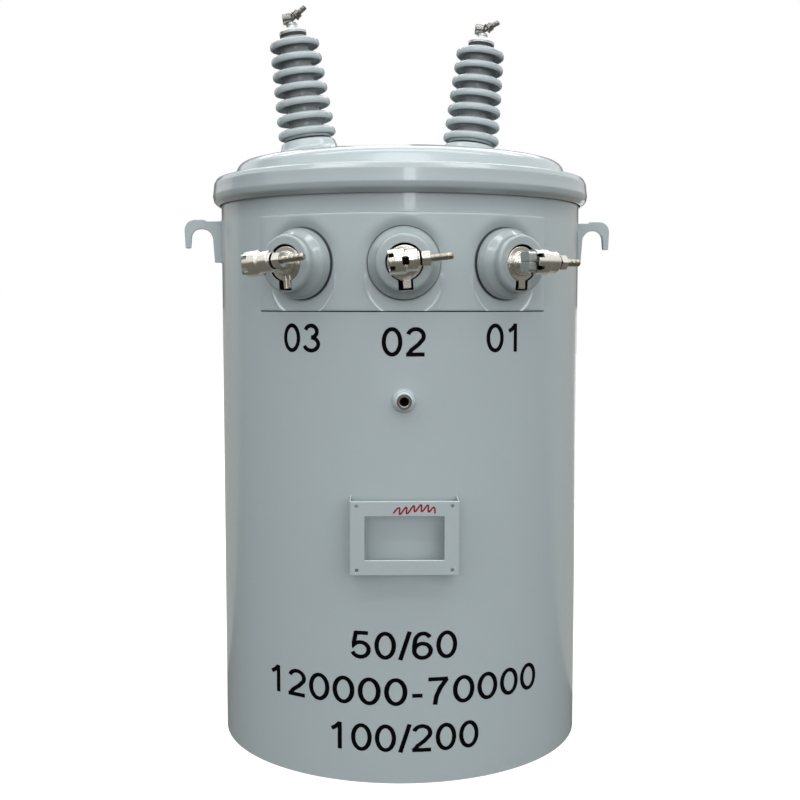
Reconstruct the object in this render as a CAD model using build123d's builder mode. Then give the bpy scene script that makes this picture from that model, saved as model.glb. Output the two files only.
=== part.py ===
"""Single-phase pole-mounted distribution transformer, standing on its own tank skirt.

Millimetres, +Z up, front (low-voltage side) towards -Y. The origin is the centre of the
skirt's bottom edge, on the floor. Azimuths are degrees round the tank from the front,
positive towards +X.
"""

import os
from math import asin, cos, degrees, radians, sin, sqrt

from build123d import *

os.makedirs("parts", exist_ok=True)

# ---- Driving dimensions -------------------------------------------------------------

# Tank
tank_radius = 280.0
tank_wall = 3.2
tank_height = 838.0
bottom_recess = 19.0
bottom_thickness = 4.8
weld_gap = 0.3
tail_clearance = 0.6

# Core and coil, which stand on the bottom
core_width = 400.0
core_height = 380.0
core_depth = 180.0
core_leg = 100.0
core_window_width = 100.0
core_window_height = 280.0
core_round = 40.0
coil_build = 92.0
coil_clearance = 3.0
coil_round = 60.0

# Rim of the tank, lid seal and lid
rim_reach = 8.0
rim_thickness = 8.0
seal_thickness = 4.0
lid_thickness = 3.2
lid_shoulder_inset = 16.0
lid_shoulder_run = 12.0
lid_shoulder_rise = 36.0
lid_dome_rise = 23.3

# Clamping ring round the rim and the lid's brim
ring_thickness = 2.7
ring_gap = 0.3
ring_skirt_drop = 14.3
ring_bead = 1.8
ring_top_rise = 12.0
ring_split = 18.0
ring_azimuth = 145.0
lug_thickness = 6.0
lug_reach = 30.0
lug_height = 26.0
lug_bolt_radius = 6.0
lug_nut_thickness = 10.0
bolt_clearance = 0.5

# Low-voltage panel: a pressed strip with three flats
panel_proud = 2.0
panel_height = 136.0
panel_half_angle = 46.6
panel_drop = 40.0
flat_depth = 4.5
flat_radius = 61.0
flat_taper = 45.0

# Low-voltage bushings
lv_drop = 109.5
lv_spacing = 30.5
lv_gasket_radius = 46.5
lv_gasket_thickness = 3.5
lv_flange_radius = 49.3
lv_collar_radius = 39.4
lv_neck_radius = 37.6
lv_length = 42.5
lv_recess_radius = 25.7
lv_recess_depth = 14.5
lv_tail_radius = 26.0
lv_tail_length = 34.0
lv_stem_radius = 8.0
lv_key_width = 20.0
lv_key_reach = 37.3

# Low-voltage terminals: a round hub on the stem, and an eyebolt clamp across its post
hub_radius = 24.0
hub_setback = 2.5
hub_step_radius = 16.5
hub_step_height = 5.0
tab_width = 11.5
tab_reach = 35.0
tab_thickness = 4.0
post_radius = 7.5
clamp_distance = 46.0
clamp_length = 38.0
clamp_radius = 17.0
clamp_bore_radius = 14.0
clamp_bore_depth = 27.0
clamp_sleeve_radius = 14.6
clamp_sleeve_length = 16.0
crown_slots = 6
crown_slot_width = 6.4
crown_slot_depth = 7.0
window_width = 9.0
window_height = 15.0
eyebolt_radius = 5.0
eyebolt_reach = 62.0
eyebolt_head_radius = 13.7
eyebolt_head_length = 12.5
nut_width = 19.0
nut_thickness = 11.5
washer_radius = 10.5
washer_thickness = 4.0
running_clearance = 0.3

# One row for each low-voltage terminal: number, azimuth, turn of the clamp about the
# stem, and how far the clamp and the eyebolt's head are shifted from the post
lv_terminals = (
    (1, lv_spacing, 0.0, -17.5, -30.3),
    (2, 0.0, 9.0, -21.5, -21.0),
    (3, -lv_spacing, 8.0, -27.0, -33.0),
)

# High-voltage bushings, leaning outwards on two raised bosses of the lid
hv_circle_inset = 130.0
hv_half_angle = 65.0
hv_turn = 13.0
hv_lean = 8.0
hv_seat_rise = 78.8
boss_top_radius = 42.0
boss_base_radius = 49.5
boss_round = 5.0
hv_gasket_radius = 37.0
hv_gasket_thickness = 2.5
hv_foot_radius = 37.0
hv_core_low_radius = 28.0
hv_core_high_radius = 24.0
hv_sheds = 7
hv_shed_pitch = 23.5
hv_first_shed = 12.5
hv_shed_low_radius = 45.6
hv_shed_high_radius = 39.2
hv_shed_edge = 3.6
hv_shed_slope = 6.5
hv_neck_radius = 22.5
hv_neck_length = 11.5
hv_tail_radius = 24.0
hv_tail_length = 60.0
hv_rod_radius = 5.0
cap_seal_thickness = 2.4
cap_seal_radius = 21.0
cap_radius = 21.5
cap_height = 6.0
hv_post_radius = 7.0
hv_post_height = 22.5
hv_pin_radius = 2.5
hv_pin_length = 3.0
hv_clamp_radius = 9.0
hv_clamp_length = 16.0
hv_clamp_left = 13.0
hv_bolt_radius = 4.2
hv_bolt_lift = 35.0
hv_bolt_reach = 27.0
hv_bolt_socket = 3.0
hv_washer_distance = 6.2
hv_washer_radius = 8.0
hv_washer_thickness = 2.5
hv_nut_width = 13.0
hv_nut_thickness = 5.0

# One row for each high-voltage bushing: its name, and its side of the tank
hv_bushings = (("left", -1), ("right", 1))

# Lifting hooks
hook_turn = 4.0
hook_thickness = 10.0
hook_drop = 34.0
hook_reach = 58.5
hook_height = 66.5
hook_finger_length = 44.5
hook_finger_width = 10.5
hook_arch_drop = 14.5
hook_throat_radius = 15.5
hook_root_width = 11.5

# Hanger brackets for the pole, on the back
hanger_spacing = 590.55
hanger_drop = 86.45
hanger_width = 92.0
hanger_height = 118.0
hanger_thickness = 6.0
hanger_standoff = 60.0
hanger_slot_radius = 10.3
hanger_slot_length = 40.0

# Grounding boss on the front
ground_drop = 297.0
ground_length = 24.0
ground_radius = 10.4
ground_weld_radius = 14.0
ground_thread_radius = 6.2
ground_thread_depth = 18.0

# Nameplate bracket on the front
plate_width = 149.0
plate_height = 101.5
plate_drop = 481.0
plate_sheet = 2.0
plate_standoff = 37.0
plate_window_width = 108.0
plate_window_height = 60.0
plate_hole_radius = 2.4
plate_hole_spacing_x = 130.0
plate_hole_spacing_z = 88.0

# ---- Levels and radii that follow ---------------------------------------------------

tank_inside = tank_radius - tank_wall
rim_radius = tank_radius + rim_reach
rim_top = tank_height + rim_thickness
brim_low = rim_top + seal_thickness
brim_top = brim_low + lid_thickness
shoulder_top = brim_top + lid_shoulder_rise
lid_shoulder_radius = tank_radius - lid_shoulder_inset
dome_edge_radius = lid_shoulder_radius - lid_shoulder_run
lid_dome_radius = (dome_edge_radius**2 + lid_dome_rise**2) / (2 * lid_dome_rise)
core_low = bottom_recess + bottom_thickness
dome_centre = shoulder_top - sqrt(lid_dome_radius**2 - dome_edge_radius**2)
panel_top = tank_height - panel_drop
panel_low = panel_top - panel_height
lv_height = tank_height - lv_drop
flat_face = tank_radius + panel_proud - flat_depth
hub_face = lv_length - hub_setback
ring_inner = rim_radius + ring_gap
ring_outer = ring_inner + ring_thickness
ring_low = tank_height - ring_gap
ring_high = brim_top + ring_gap
ring_middle = (ring_low + ring_high) / 2
lug_bolt_distance = ring_outer + lug_reach / 2
hv_circle_radius = tank_radius - hv_circle_inset
hv_seat_height = brim_top + hv_seat_rise
hv_last_shed = hv_first_shed + (hv_sheds - 1) * hv_shed_pitch
hv_top = hv_last_shed + hv_neck_length
hook_top = tank_height - hook_drop
ground_height = tank_height - ground_drop
plate_centre_height = tank_height - plate_drop
hanger_high = tank_height - hanger_drop
hanger_levels = (("lower", hanger_high - hanger_spacing), ("upper", hanger_high))


# ---- Helpers ------------------------------------------------------------------------


def keep(builder, name):
    """Label a finished piece and write it to its own file."""
    builder.part.label = name
    export_step(builder.part, f"parts/{name}.step")


def round_tank(azimuth, radius, height):
    """Plane facing outwards from the tank's axis: X to the right, Y up, Z outwards."""
    turn = radians(azimuth)
    out = Vector(sin(turn), -cos(turn), 0)
    right = Vector(cos(turn), sin(turn), 0)
    return Plane(origin=out * radius + Vector(0, 0, height), x_dir=right, z_dir=out)


def turned(plane, angle):
    """The same plane turned about its own Z axis, counter-clockwise seen from its front."""
    turn = radians(angle)
    return Plane(
        origin=plane.origin,
        x_dir=plane.x_dir * cos(turn) + plane.y_dir * sin(turn),
        z_dir=plane.z_dir,
    )


def section_of(plane):
    """Plane through another's Z axis, to draw half profiles on: X is radius, Y is Z."""
    return Plane(origin=plane.origin, x_dir=plane.x_dir, z_dir=-plane.y_dir)


def spin_axis(plane):
    """The axis that a half profile on section_of(plane) turns about."""
    return Axis(plane.origin, plane.z_dir)


def wedge(half_angle, reach):
    """Corners of a triangle from the tank's axis that covers a sector of its front."""
    span = reach * sin(radians(half_angle)) / cos(radians(half_angle))
    return (0, 0), (-span, -reach), (span, -reach)


# ---- Tank ---------------------------------------------------------------------------


def make_tank_wall():
    """Rolled wall and its rim, with the opening that the panel is welded into."""
    with BuildPart() as tank_wall_part:
        with BuildSketch():
            Circle(tank_radius)
        extrude(amount=tank_height)
        with BuildSketch(Plane.XY.offset(tank_height)):
            Circle(rim_radius)
        extrude(amount=rim_thickness)
        with BuildSketch():
            Circle(tank_inside)
        extrude(amount=rim_top, mode=Mode.SUBTRACT)
        with BuildSketch(Plane.XY.offset(panel_low)):
            Circle(tank_radius + tank_wall)
            Circle(tank_inside - tank_wall, mode=Mode.SUBTRACT)
            Polygon(
                *wedge(panel_half_angle, tank_radius + 2 * tank_wall),
                align=None,
                mode=Mode.INTERSECT,
            )
        extrude(amount=panel_height, mode=Mode.SUBTRACT)
    keep(tank_wall_part, "tank_wall")


def make_tank_bottom():
    """Flat bottom, welded inside the wall above its lower edge."""
    with BuildPart() as tank_bottom:
        with BuildSketch(Plane.XY.offset(bottom_recess)):
            Circle(tank_inside - weld_gap)
        extrude(amount=bottom_thickness)
    keep(tank_bottom, "tank_bottom")


def make_core():
    """Wound core of the transformer proper: a rounded block with two windows."""
    with BuildPart() as core:
        with BuildSketch(Plane.XZ.offset(-core_depth / 2)):
            with Locations((0, core_low + core_height / 2)):
                RectangleRounded(core_width, core_height, core_round)
            with Locations((0, core_low + core_height / 2)):
                with GridLocations(core_leg + core_window_width, 0, 2, 1):
                    Rectangle(core_window_width, core_window_height, mode=Mode.SUBTRACT)
        extrude(amount=core_depth)
    keep(core, "core")


def make_coil():
    """Coil round the core's middle leg, standing on the lower yoke."""
    low = core_low + (core_height - core_window_height) / 2 + running_clearance
    height = core_window_height - 2 * coil_clearance
    with BuildPart() as coil:
        with BuildSketch(Plane.XY.offset(low)):
            RectangleRounded(
                core_leg + 2 * coil_build, core_depth + 2 * coil_build, coil_round
            )
            Rectangle(
                core_leg + 2 * coil_clearance,
                core_depth + 2 * coil_clearance,
                mode=Mode.SUBTRACT,
            )
        extrude(amount=height)
    keep(coil, "coil")


def make_lv_panel():
    """Pressed strip of the wall, with a round flat for each low-voltage bushing."""
    with BuildPart() as lv_panel:
        with BuildSketch(Plane.XY.offset(panel_low)):
            Circle(tank_radius + panel_proud)
            Circle(tank_inside, mode=Mode.SUBTRACT)
            Polygon(
                *wedge(panel_half_angle, tank_radius + 2 * tank_wall),
                align=None,
                mode=Mode.INTERSECT,
            )
        extrude(amount=panel_height)
        for _, azimuth, _, _, _ in lv_terminals:
            with BuildSketch(round_tank(azimuth, flat_face - tank_wall, lv_height)):
                Circle(flat_radius + tank_wall)
            extrude(amount=tank_wall + flat_depth)
        with BuildSketch(Plane.XY.offset(panel_low)):
            Circle(tank_radius + panel_proud)
        extrude(amount=panel_height, mode=Mode.INTERSECT)
        for _, azimuth, _, _, _ in lv_terminals:
            seat = round_tank(azimuth, flat_face, lv_height)
            with BuildSketch(seat):
                Circle(flat_radius)
            extrude(amount=2 * flat_depth, taper=-flat_taper, mode=Mode.SUBTRACT)
            with BuildSketch(seat):
                Circle(lv_tail_radius + tail_clearance)
            extrude(amount=-2 * tank_wall, mode=Mode.SUBTRACT)
    keep(lv_panel, "lv_panel")


# ---- Lid ----------------------------------------------------------------------------


def hv_seat(side):
    """Plane on top of a raised boss of the lid: Z along the bushing, X outwards."""
    azimuth = 180.0 + hv_turn - side * hv_half_angle
    turn, lean = radians(azimuth), radians(hv_lean)
    out = Vector(sin(turn), -cos(turn), 0)
    up = Vector(0, 0, 1)
    origin = out * hv_circle_radius + up * hv_seat_height
    return Plane(
        origin=origin,
        x_dir=out * cos(lean) - up * sin(lean),
        z_dir=out * sin(lean) + up * cos(lean),
    )


def lid_body(inset):
    """The lid's domed form as a solid, drawn in by inset on every side."""
    foot_radius = lid_shoulder_radius - inset
    edge_radius = dome_edge_radius - inset
    dome_radius = lid_dome_radius - inset
    edge_height = dome_centre + sqrt(dome_radius**2 - edge_radius**2)
    apex = dome_centre + dome_radius
    sweep = degrees(asin(edge_radius / dome_radius))
    with BuildPart() as body:
        with BuildSketch(Plane.XZ):
            with BuildLine():
                Polyline((0, apex), (0, brim_low), (foot_radius, brim_low))
                Line((foot_radius, brim_low), (edge_radius, edge_height))
                CenterArc((0, dome_centre), dome_radius, 90 - sweep, sweep)
            make_face()
        revolve(axis=Axis.Z)
        for _, side in hv_bushings:
            spread = boss_base_radius - boss_top_radius
            drop = hv_seat_height - brim_low
            slant = spread / (hv_seat_height - apex + boss_round)
            with BuildSketch(section_of(hv_seat(side))):
                with BuildLine():
                    Polyline(
                        (0, -inset),
                        (boss_top_radius - inset, -inset),
                        (boss_top_radius - inset + slant * drop / 2, -drop / 2),
                        (0, -drop / 2),
                        close=True,
                    )
                make_face()
            revolve(axis=spin_axis(hv_seat(side)))
    return body.part


def make_cover():
    """Pressed lid: brim, steep shoulder, shallow dome and two leaning bosses."""
    with BuildPart() as cover:
        add(lid_body(0.0))
        with BuildSketch(Plane.XY.offset(brim_low)):
            Circle(rim_radius)
        extrude(amount=lid_thickness)
        add(lid_body(lid_thickness), mode=Mode.SUBTRACT)
        for _, side in hv_bushings:
            with BuildSketch(hv_seat(side)):
                Circle(hv_tail_radius + tail_clearance)
            extrude(amount=-2 * lid_thickness, mode=Mode.SUBTRACT)
    keep(cover, "cover")


def make_cover_gasket():
    """Flat seal between the rim and the lid's brim."""
    with BuildPart() as cover_gasket:
        with BuildSketch(Plane.XY.offset(rim_top)):
            Circle(rim_radius)
            Circle(tank_inside, mode=Mode.SUBTRACT)
        extrude(amount=seal_thickness)
    keep(cover_gasket, "cover_gasket")


def across_tank(azimuth, radius, height):
    """Plane facing along the wall: X outwards, Y down, Z to the right."""
    wall = round_tank(azimuth, radius, height)
    return Plane(origin=wall.origin, x_dir=wall.z_dir, z_dir=wall.x_dir)


def make_cover_band():
    """Split clamping ring of C section, with two lugs that its bolt pulls together."""
    skirt_radius = tank_radius + ring_gap
    skirt_low = ring_low - ring_skirt_drop
    tip_radius = ring_outer - 3 * ring_thickness
    lug_seat = round_tank(ring_azimuth, ring_outer - ring_thickness / 2, ring_middle)
    bolt_seat = across_tank(ring_azimuth, lug_bolt_distance, ring_middle)
    with BuildPart() as cover_band:
        with BuildSketch(Plane.XZ):
            with BuildLine():
                Polyline(
                    (tip_radius, ring_high + ring_top_rise),
                    (tip_radius - ring_thickness, ring_high + ring_top_rise),
                    (ring_inner - ring_thickness, ring_high + ring_thickness),
                    (ring_inner, ring_high),
                    (ring_inner, ring_low),
                    (skirt_radius, skirt_low + 2 * ring_thickness),
                    (skirt_radius, skirt_low),
                    (ring_outer + ring_bead * 0.6, ring_low - ring_bead * 1.2),
                    (ring_outer + ring_bead * 1.3, ring_low),
                    (ring_outer + ring_bead * 1.0, ring_low + ring_bead * 1.6),
                    (ring_outer, ring_low + ring_bead * 3.0),
                    (ring_outer, ring_high),
                    (ring_outer - ring_thickness * 0.4, ring_high + ring_top_rise * 0.4),
                    (ring_outer - ring_thickness * 1.4, ring_high + ring_top_rise * 0.8),
                    close=True,
                )
            make_face()
        revolve(axis=Axis.Z)
        with BuildSketch(lug_seat):
            Rectangle(ring_split + 2 * lug_thickness, lug_height)
        extrude(amount=lug_reach)
        with BuildSketch(round_tank(ring_azimuth, tank_radius, ring_middle)):
            Rectangle(ring_split, 4 * lug_height)
        extrude(amount=2 * lug_reach, mode=Mode.SUBTRACT)
        with BuildSketch(bolt_seat):
            Circle(lug_bolt_radius + bolt_clearance)
        extrude(amount=2 * ring_split, both=True, mode=Mode.SUBTRACT)
    keep(cover_band, "cover_band")


def make_band_bolt():
    """Hexagon bolt through both lugs of the clamping ring, with its nut."""
    head_width = 3.0 * lug_bolt_radius
    span = ring_split + 2 * lug_thickness
    seat = across_tank(ring_azimuth, lug_bolt_distance, ring_middle).offset(-span / 2)
    with BuildPart() as band_bolt:
        with BuildSketch(seat):
            Circle(lug_bolt_radius)
        extrude(amount=span + 2 * lug_nut_thickness)
        with BuildSketch(seat):
            RegularPolygon(head_width / 2, 6, major_radius=False)
        extrude(amount=-lug_nut_thickness)
        with BuildSketch(seat.offset(span)):
            RegularPolygon(head_width / 2, 6, major_radius=False)
        extrude(amount=lug_nut_thickness)
    keep(band_bolt, "band_bolt")


# ---- Low-voltage bushings and their terminals ---------------------------------------


def make_lv_gasket(number, azimuth):
    """Flat rubber ring between the panel's flat and the bushing's flange."""
    with BuildPart() as lv_gasket:
        with BuildSketch(round_tank(azimuth, flat_face, lv_height)):
            Circle(lv_gasket_radius)
            Circle(lv_tail_radius + tail_clearance, mode=Mode.SUBTRACT)
        extrude(amount=lv_gasket_thickness)
    keep(lv_gasket, f"lv_gasket_{number}")


def make_lv_bushing(number, azimuth, turn):
    """Short epoxy bushing: round flange, waisted neck, collar, recess and key notch."""
    seat = round_tank(azimuth, flat_face, lv_height)
    face = seat.offset(lv_length)
    recess_floor = lv_length - lv_recess_depth
    back = lv_gasket_thickness
    waist = lv_flange_radius - lv_neck_radius
    edge = 3.0
    with BuildPart() as lv_bushing:
        with BuildSketch(section_of(seat)):
            with BuildLine():
                Polyline(
                    (lv_recess_radius, lv_length),
                    (lv_recess_radius, recess_floor),
                    (lv_stem_radius + tail_clearance, recess_floor),
                    (lv_stem_radius + tail_clearance, -lv_tail_length),
                    (lv_tail_radius - edge, -lv_tail_length),
                    (lv_tail_radius, edge - lv_tail_length),
                    (lv_tail_radius, back),
                    (lv_flange_radius - edge, back),
                    (lv_flange_radius, back + edge),
                    (lv_flange_radius, lv_length * 0.24),
                    (lv_flange_radius - waist * 0.15, lv_length * 0.36),
                    (lv_flange_radius - waist * 0.55, lv_length * 0.47),
                    (lv_flange_radius - waist * 0.90, lv_length * 0.60),
                    (lv_neck_radius, lv_length * 0.72),
                    (lv_collar_radius, lv_length * 0.76),
                    (lv_collar_radius, lv_length - edge),
                    (lv_collar_radius - edge * 0.3, lv_length - edge * 0.3),
                    (lv_collar_radius - edge, lv_length),
                    close=True,
                )
            make_face()
        revolve(axis=spin_axis(seat))
        with BuildSketch(turned(face, turn)):
            with Locations((0, -lv_key_reach / 2)):
                Rectangle(lv_key_width, lv_key_reach)
        extrude(amount=-lv_recess_depth, mode=Mode.SUBTRACT)
    keep(lv_bushing, f"lv_bushing_{number}")


def make_lv_stem(number, azimuth, turn):
    """Stem through the bushing, with a stepped hub, a key tab and the clamp's post."""
    seat = round_tank(azimuth, flat_face, lv_height)
    floor = lv_length - lv_recess_depth + running_clearance
    hub_thickness = hub_face - floor
    tab_plane = turned(seat.offset(hub_face - tab_thickness), turn)
    post = across_stem(azimuth, turn)
    with BuildPart() as lv_stem:
        with BuildSketch(seat.offset(-lv_tail_length - lv_stem_radius)):
            Circle(lv_stem_radius)
        extrude(amount=lv_tail_length + lv_stem_radius + hub_face)
        with BuildSketch(seat.offset(floor)):
            Circle(hub_radius)
        extrude(amount=hub_thickness)
        with BuildSketch(seat.offset(hub_face)):
            Circle(hub_step_radius)
        extrude(amount=hub_step_height)
        with BuildSketch(tab_plane):
            with Locations((0, -tab_reach / 2)):
                Rectangle(tab_width, tab_reach)
        extrude(amount=tab_thickness)
        with BuildSketch(seat.offset(hub_face)):
            Circle(post_radius)
        extrude(amount=clamp_distance + post_radius)
        with BuildSketch(post):
            Circle(eyebolt_radius + running_clearance)
        extrude(amount=2 * post_radius, both=True, mode=Mode.SUBTRACT)
    keep(lv_stem, f"lv_stem_{number}")


def across_stem(azimuth, turn):
    """Plane at the clamp's middle: Z along the eyebolt, X up round it, Y outwards."""
    seat = round_tank(azimuth, flat_face + hub_face + clamp_distance, lv_height)
    level = turned(seat, turn)
    return Plane(origin=level.origin, x_dir=level.y_dir, z_dir=level.x_dir)


def make_lv_clamp(number, azimuth, turn, shift):
    """Crowned pressure sleeve that slides along the eyebolt, over the post."""
    middle = across_stem(azimuth, turn)
    left = middle.offset(shift)
    right = left.offset(clamp_length - clamp_sleeve_length)
    post_tip = Plane(
        origin=middle.origin + middle.y_dir * (post_radius + running_clearance),
        z_dir=-middle.y_dir,
    )
    slot_turns = [360.0 / crown_slots * slot for slot in range(crown_slots)]
    with BuildPart() as lv_clamp:
        with BuildSketch(left):
            Circle(clamp_radius)
        extrude(amount=clamp_length - clamp_sleeve_length)
        chamfer(lv_clamp.faces().sort_by(spin_axis(left))[-1].edges(), 1.0)
        with BuildSketch(right):
            Circle(clamp_sleeve_radius)
        extrude(amount=clamp_sleeve_length)
        chamfer(lv_clamp.faces().sort_by(spin_axis(left))[-1].edges(), 1.5)
        with BuildSketch(left):
            Circle(clamp_bore_radius)
        extrude(amount=clamp_bore_depth, mode=Mode.SUBTRACT)
        with BuildSketch(left):
            Circle(eyebolt_radius + running_clearance)
        extrude(amount=clamp_length, mode=Mode.SUBTRACT)
        with BuildSketch(left):
            with Locations(*[left_slot(turned) for turned in slot_turns]):
                Rectangle(2 * clamp_radius - clamp_bore_radius, crown_slot_width)
        extrude(amount=crown_slot_depth, mode=Mode.SUBTRACT)
        with BuildSketch(post_tip):
            Circle(post_radius + tail_clearance)
        extrude(amount=3 * clamp_radius, mode=Mode.SUBTRACT)
        with BuildSketch(Plane(middle.origin, x_dir=middle.x_dir, z_dir=middle.y_dir)):
            SlotOverall(window_height, window_width)
        extrude(amount=2 * clamp_radius, mode=Mode.SUBTRACT)
    keep(lv_clamp, f"lv_clamp_{number}")


def left_slot(angle):
    """Place of one slot of the crown, half way through its wall."""
    return Location((clamp_radius * cos(radians(angle)),
                     clamp_radius * sin(radians(angle)), 0), (0, 0, angle))


def make_lv_eyebolt(number, azimuth, turn, head_shift):
    """Eyebolt through the post: round head, long stud with a bevelled end."""
    head = across_stem(azimuth, turn).offset(head_shift)
    with BuildPart() as lv_eyebolt:
        with BuildSketch(head):
            Circle(eyebolt_radius)
        extrude(amount=eyebolt_reach - head_shift)
        chamfer(lv_eyebolt.faces().sort_by(spin_axis(head))[-1].edges(), 1.2)
        with BuildSketch(head):
            Circle(eyebolt_head_radius)
        extrude(amount=eyebolt_head_length)
    keep(lv_eyebolt, f"lv_eyebolt_{number}")


def make_lv_nut(number, azimuth, turn, shift):
    """Hexagon nut with its spring washer, tight on the clamp's sleeve."""
    seat = across_stem(azimuth, turn).offset(shift + clamp_length + running_clearance)
    with BuildPart() as lv_nut:
        with BuildSketch(seat):
            Circle(washer_radius)
        extrude(amount=washer_thickness)
        with BuildSketch(seat.offset(washer_thickness)):
            RegularPolygon(nut_width / 2, 6, major_radius=False)
        extrude(amount=nut_thickness)
        with BuildSketch(seat):
            Circle(eyebolt_radius + running_clearance)
        extrude(amount=washer_thickness + nut_thickness, mode=Mode.SUBTRACT)
    keep(lv_nut, f"lv_nut_{number}")


# ---- High-voltage bushings and their terminals --------------------------------------


def make_hv_gasket(name, side):
    """Rubber ring between a boss of the lid and the porcelain."""
    with BuildPart() as hv_gasket:
        with BuildSketch(hv_seat(side)):
            Circle(hv_gasket_radius)
            Circle(hv_tail_radius + tail_clearance, mode=Mode.SUBTRACT)
        extrude(amount=hv_gasket_thickness)
    keep(hv_gasket, f"hv_gasket_{name}")


def make_hv_bushing(name, side):
    """Porcelain bushing: tail, foot, core with drooping sheds, and a neck on top."""
    seat = hv_seat(side)
    with BuildPart() as hv_bushing:
        with BuildSketch(section_of(seat)):
            with BuildLine():
                Polyline(
                    (hv_rod_radius + running_clearance, hv_top),
                    (hv_rod_radius + running_clearance, -hv_tail_length),
                    (hv_tail_radius, -hv_tail_length),
                    (hv_tail_radius, hv_gasket_thickness),
                    (hv_foot_radius, hv_gasket_thickness),
                    (hv_foot_radius, hv_first_shed),
                    (hv_core_low_radius, hv_first_shed),
                    (hv_core_high_radius, hv_last_shed),
                    (hv_neck_radius, hv_last_shed + hv_neck_length / 2),
                    (hv_neck_radius, hv_top),
                    close=True,
                )
            make_face()
        revolve(axis=spin_axis(seat))
        for shed in range(hv_sheds):
            share = shed / (hv_sheds - 1)
            reach = hv_shed_low_radius + share * (hv_shed_high_radius - hv_shed_low_radius)
            core = hv_core_low_radius + share * (hv_core_high_radius - hv_core_low_radius)
            level = hv_first_shed + shed * hv_shed_pitch
            with BuildSketch(section_of(seat)):
                with BuildLine():
                    Polyline(
                        (core - 1.0, level),
                        (reach - hv_shed_edge, level - hv_shed_edge),
                        (reach - hv_shed_edge * 0.2, level - hv_shed_edge * 0.6),
                        (reach, level + hv_shed_edge * 0.2),
                        (reach - hv_shed_edge * 0.6, level + hv_shed_edge * 1.1),
                        (core - 1.0, level + hv_shed_edge + hv_shed_slope),
                        close=True,
                    )
                make_face()
            revolve(axis=spin_axis(seat))
    keep(hv_bushing, f"hv_bushing_{name}")


def make_hv_cap_seal(name, side):
    """Dark seal under the bushing's metal cap."""
    with BuildPart() as hv_cap_seal:
        with BuildSketch(hv_seat(side).offset(hv_top)):
            Circle(cap_seal_radius)
            Circle(hv_rod_radius + running_clearance, mode=Mode.SUBTRACT)
        extrude(amount=cap_seal_thickness)
    keep(hv_cap_seal, f"hv_cap_seal_{name}")


def across_cap(side, lift=0.0):
    """Plane on a cap's axis, at its clamp: Z to the right and lifted by an angle."""
    seat = hv_seat(side).offset(hv_top + cap_seal_thickness + cap_height + hv_post_height)
    up = seat.z_dir
    right = (Vector(1, 0, 0) - up * up.X).normalized()
    along = right * cos(radians(lift)) + up * sin(radians(lift))
    return Plane(origin=seat.origin, x_dir=up.cross(right), z_dir=along)


def make_hv_cap(name, side):
    """Cap flange with the rod down the bushing, and the stepped post under its clamp."""
    seat = hv_seat(side).offset(hv_top + cap_seal_thickness)
    shoulder = hv_post_height - hv_clamp_radius - running_clearance
    with BuildPart() as hv_cap:
        with BuildSketch(seat):
            Circle(cap_radius)
        extrude(amount=cap_height)
        chamfer(hv_cap.faces().sort_by(spin_axis(seat))[-1].edges(), 2.5)
        with BuildSketch(seat):
            Circle(hv_rod_radius)
        extrude(amount=-(cap_seal_thickness + hv_top + hv_tail_length))
        with BuildSketch(seat.offset(cap_height)):
            Circle(hv_post_radius)
        extrude(amount=shoulder)
        with BuildSketch(seat.offset(cap_height)):
            Circle(hv_pin_radius)
        extrude(amount=shoulder + hv_pin_length)
    keep(hv_cap, f"hv_cap_{name}")


def make_hv_clamp(name, side):
    """Round clamp block across the post, with a slanting socket for its bolt."""
    middle = across_cap(side)
    end = middle.offset(hv_clamp_length - hv_clamp_left)
    down = Plane(middle.origin, z_dir=-hv_seat(side).z_dir)
    with BuildPart() as hv_clamp:
        with BuildSketch(middle.offset(-hv_clamp_left)):
            Circle(hv_clamp_radius)
        extrude(amount=hv_clamp_length)
        chamfer(hv_clamp.faces().sort_by(spin_axis(middle))[-1].edges(), 1.0)
        with BuildSketch(down.offset(-running_clearance)):
            Circle(hv_pin_radius + running_clearance)
        extrude(amount=2 * hv_clamp_radius, mode=Mode.SUBTRACT)
        with BuildSketch(slanted(side, end)):
            Circle(hv_bolt_radius + running_clearance)
        extrude(amount=hv_clamp_radius, mode=Mode.SUBTRACT)
        with BuildSketch(slanted(side, end)):
            Circle(hv_bolt_radius + running_clearance)
        extrude(amount=-hv_bolt_socket - running_clearance, mode=Mode.SUBTRACT)
    keep(hv_clamp, f"hv_clamp_{name}")


def slanted(side, end):
    """Plane at the centre of the clamp's end, with Z along the slanting bolt."""
    lifted = across_cap(side, hv_bolt_lift)
    return Plane(origin=end.origin, x_dir=lifted.x_dir, z_dir=lifted.z_dir)


def make_hv_bolt(name, side):
    """Slanting bolt in the clamp's end, with its washer and nut."""
    end = across_cap(side).offset(hv_clamp_length - hv_clamp_left)
    seat = slanted(side, end)
    with BuildPart() as hv_bolt:
        with BuildSketch(seat.offset(-hv_bolt_socket)):
            Circle(hv_bolt_radius)
        extrude(amount=hv_bolt_socket + hv_bolt_reach)
        with BuildSketch(seat.offset(hv_washer_distance)):
            Circle(hv_washer_radius)
        extrude(amount=hv_washer_thickness)
        with BuildSketch(seat.offset(hv_washer_distance + hv_washer_thickness)):
            RegularPolygon(hv_nut_width / 2, 6, major_radius=False)
        extrude(amount=hv_nut_thickness)
    keep(hv_bolt, f"hv_bolt_{name}")


# ---- Hooks, hangers, grounding boss and nameplate bracket ---------------------------


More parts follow.
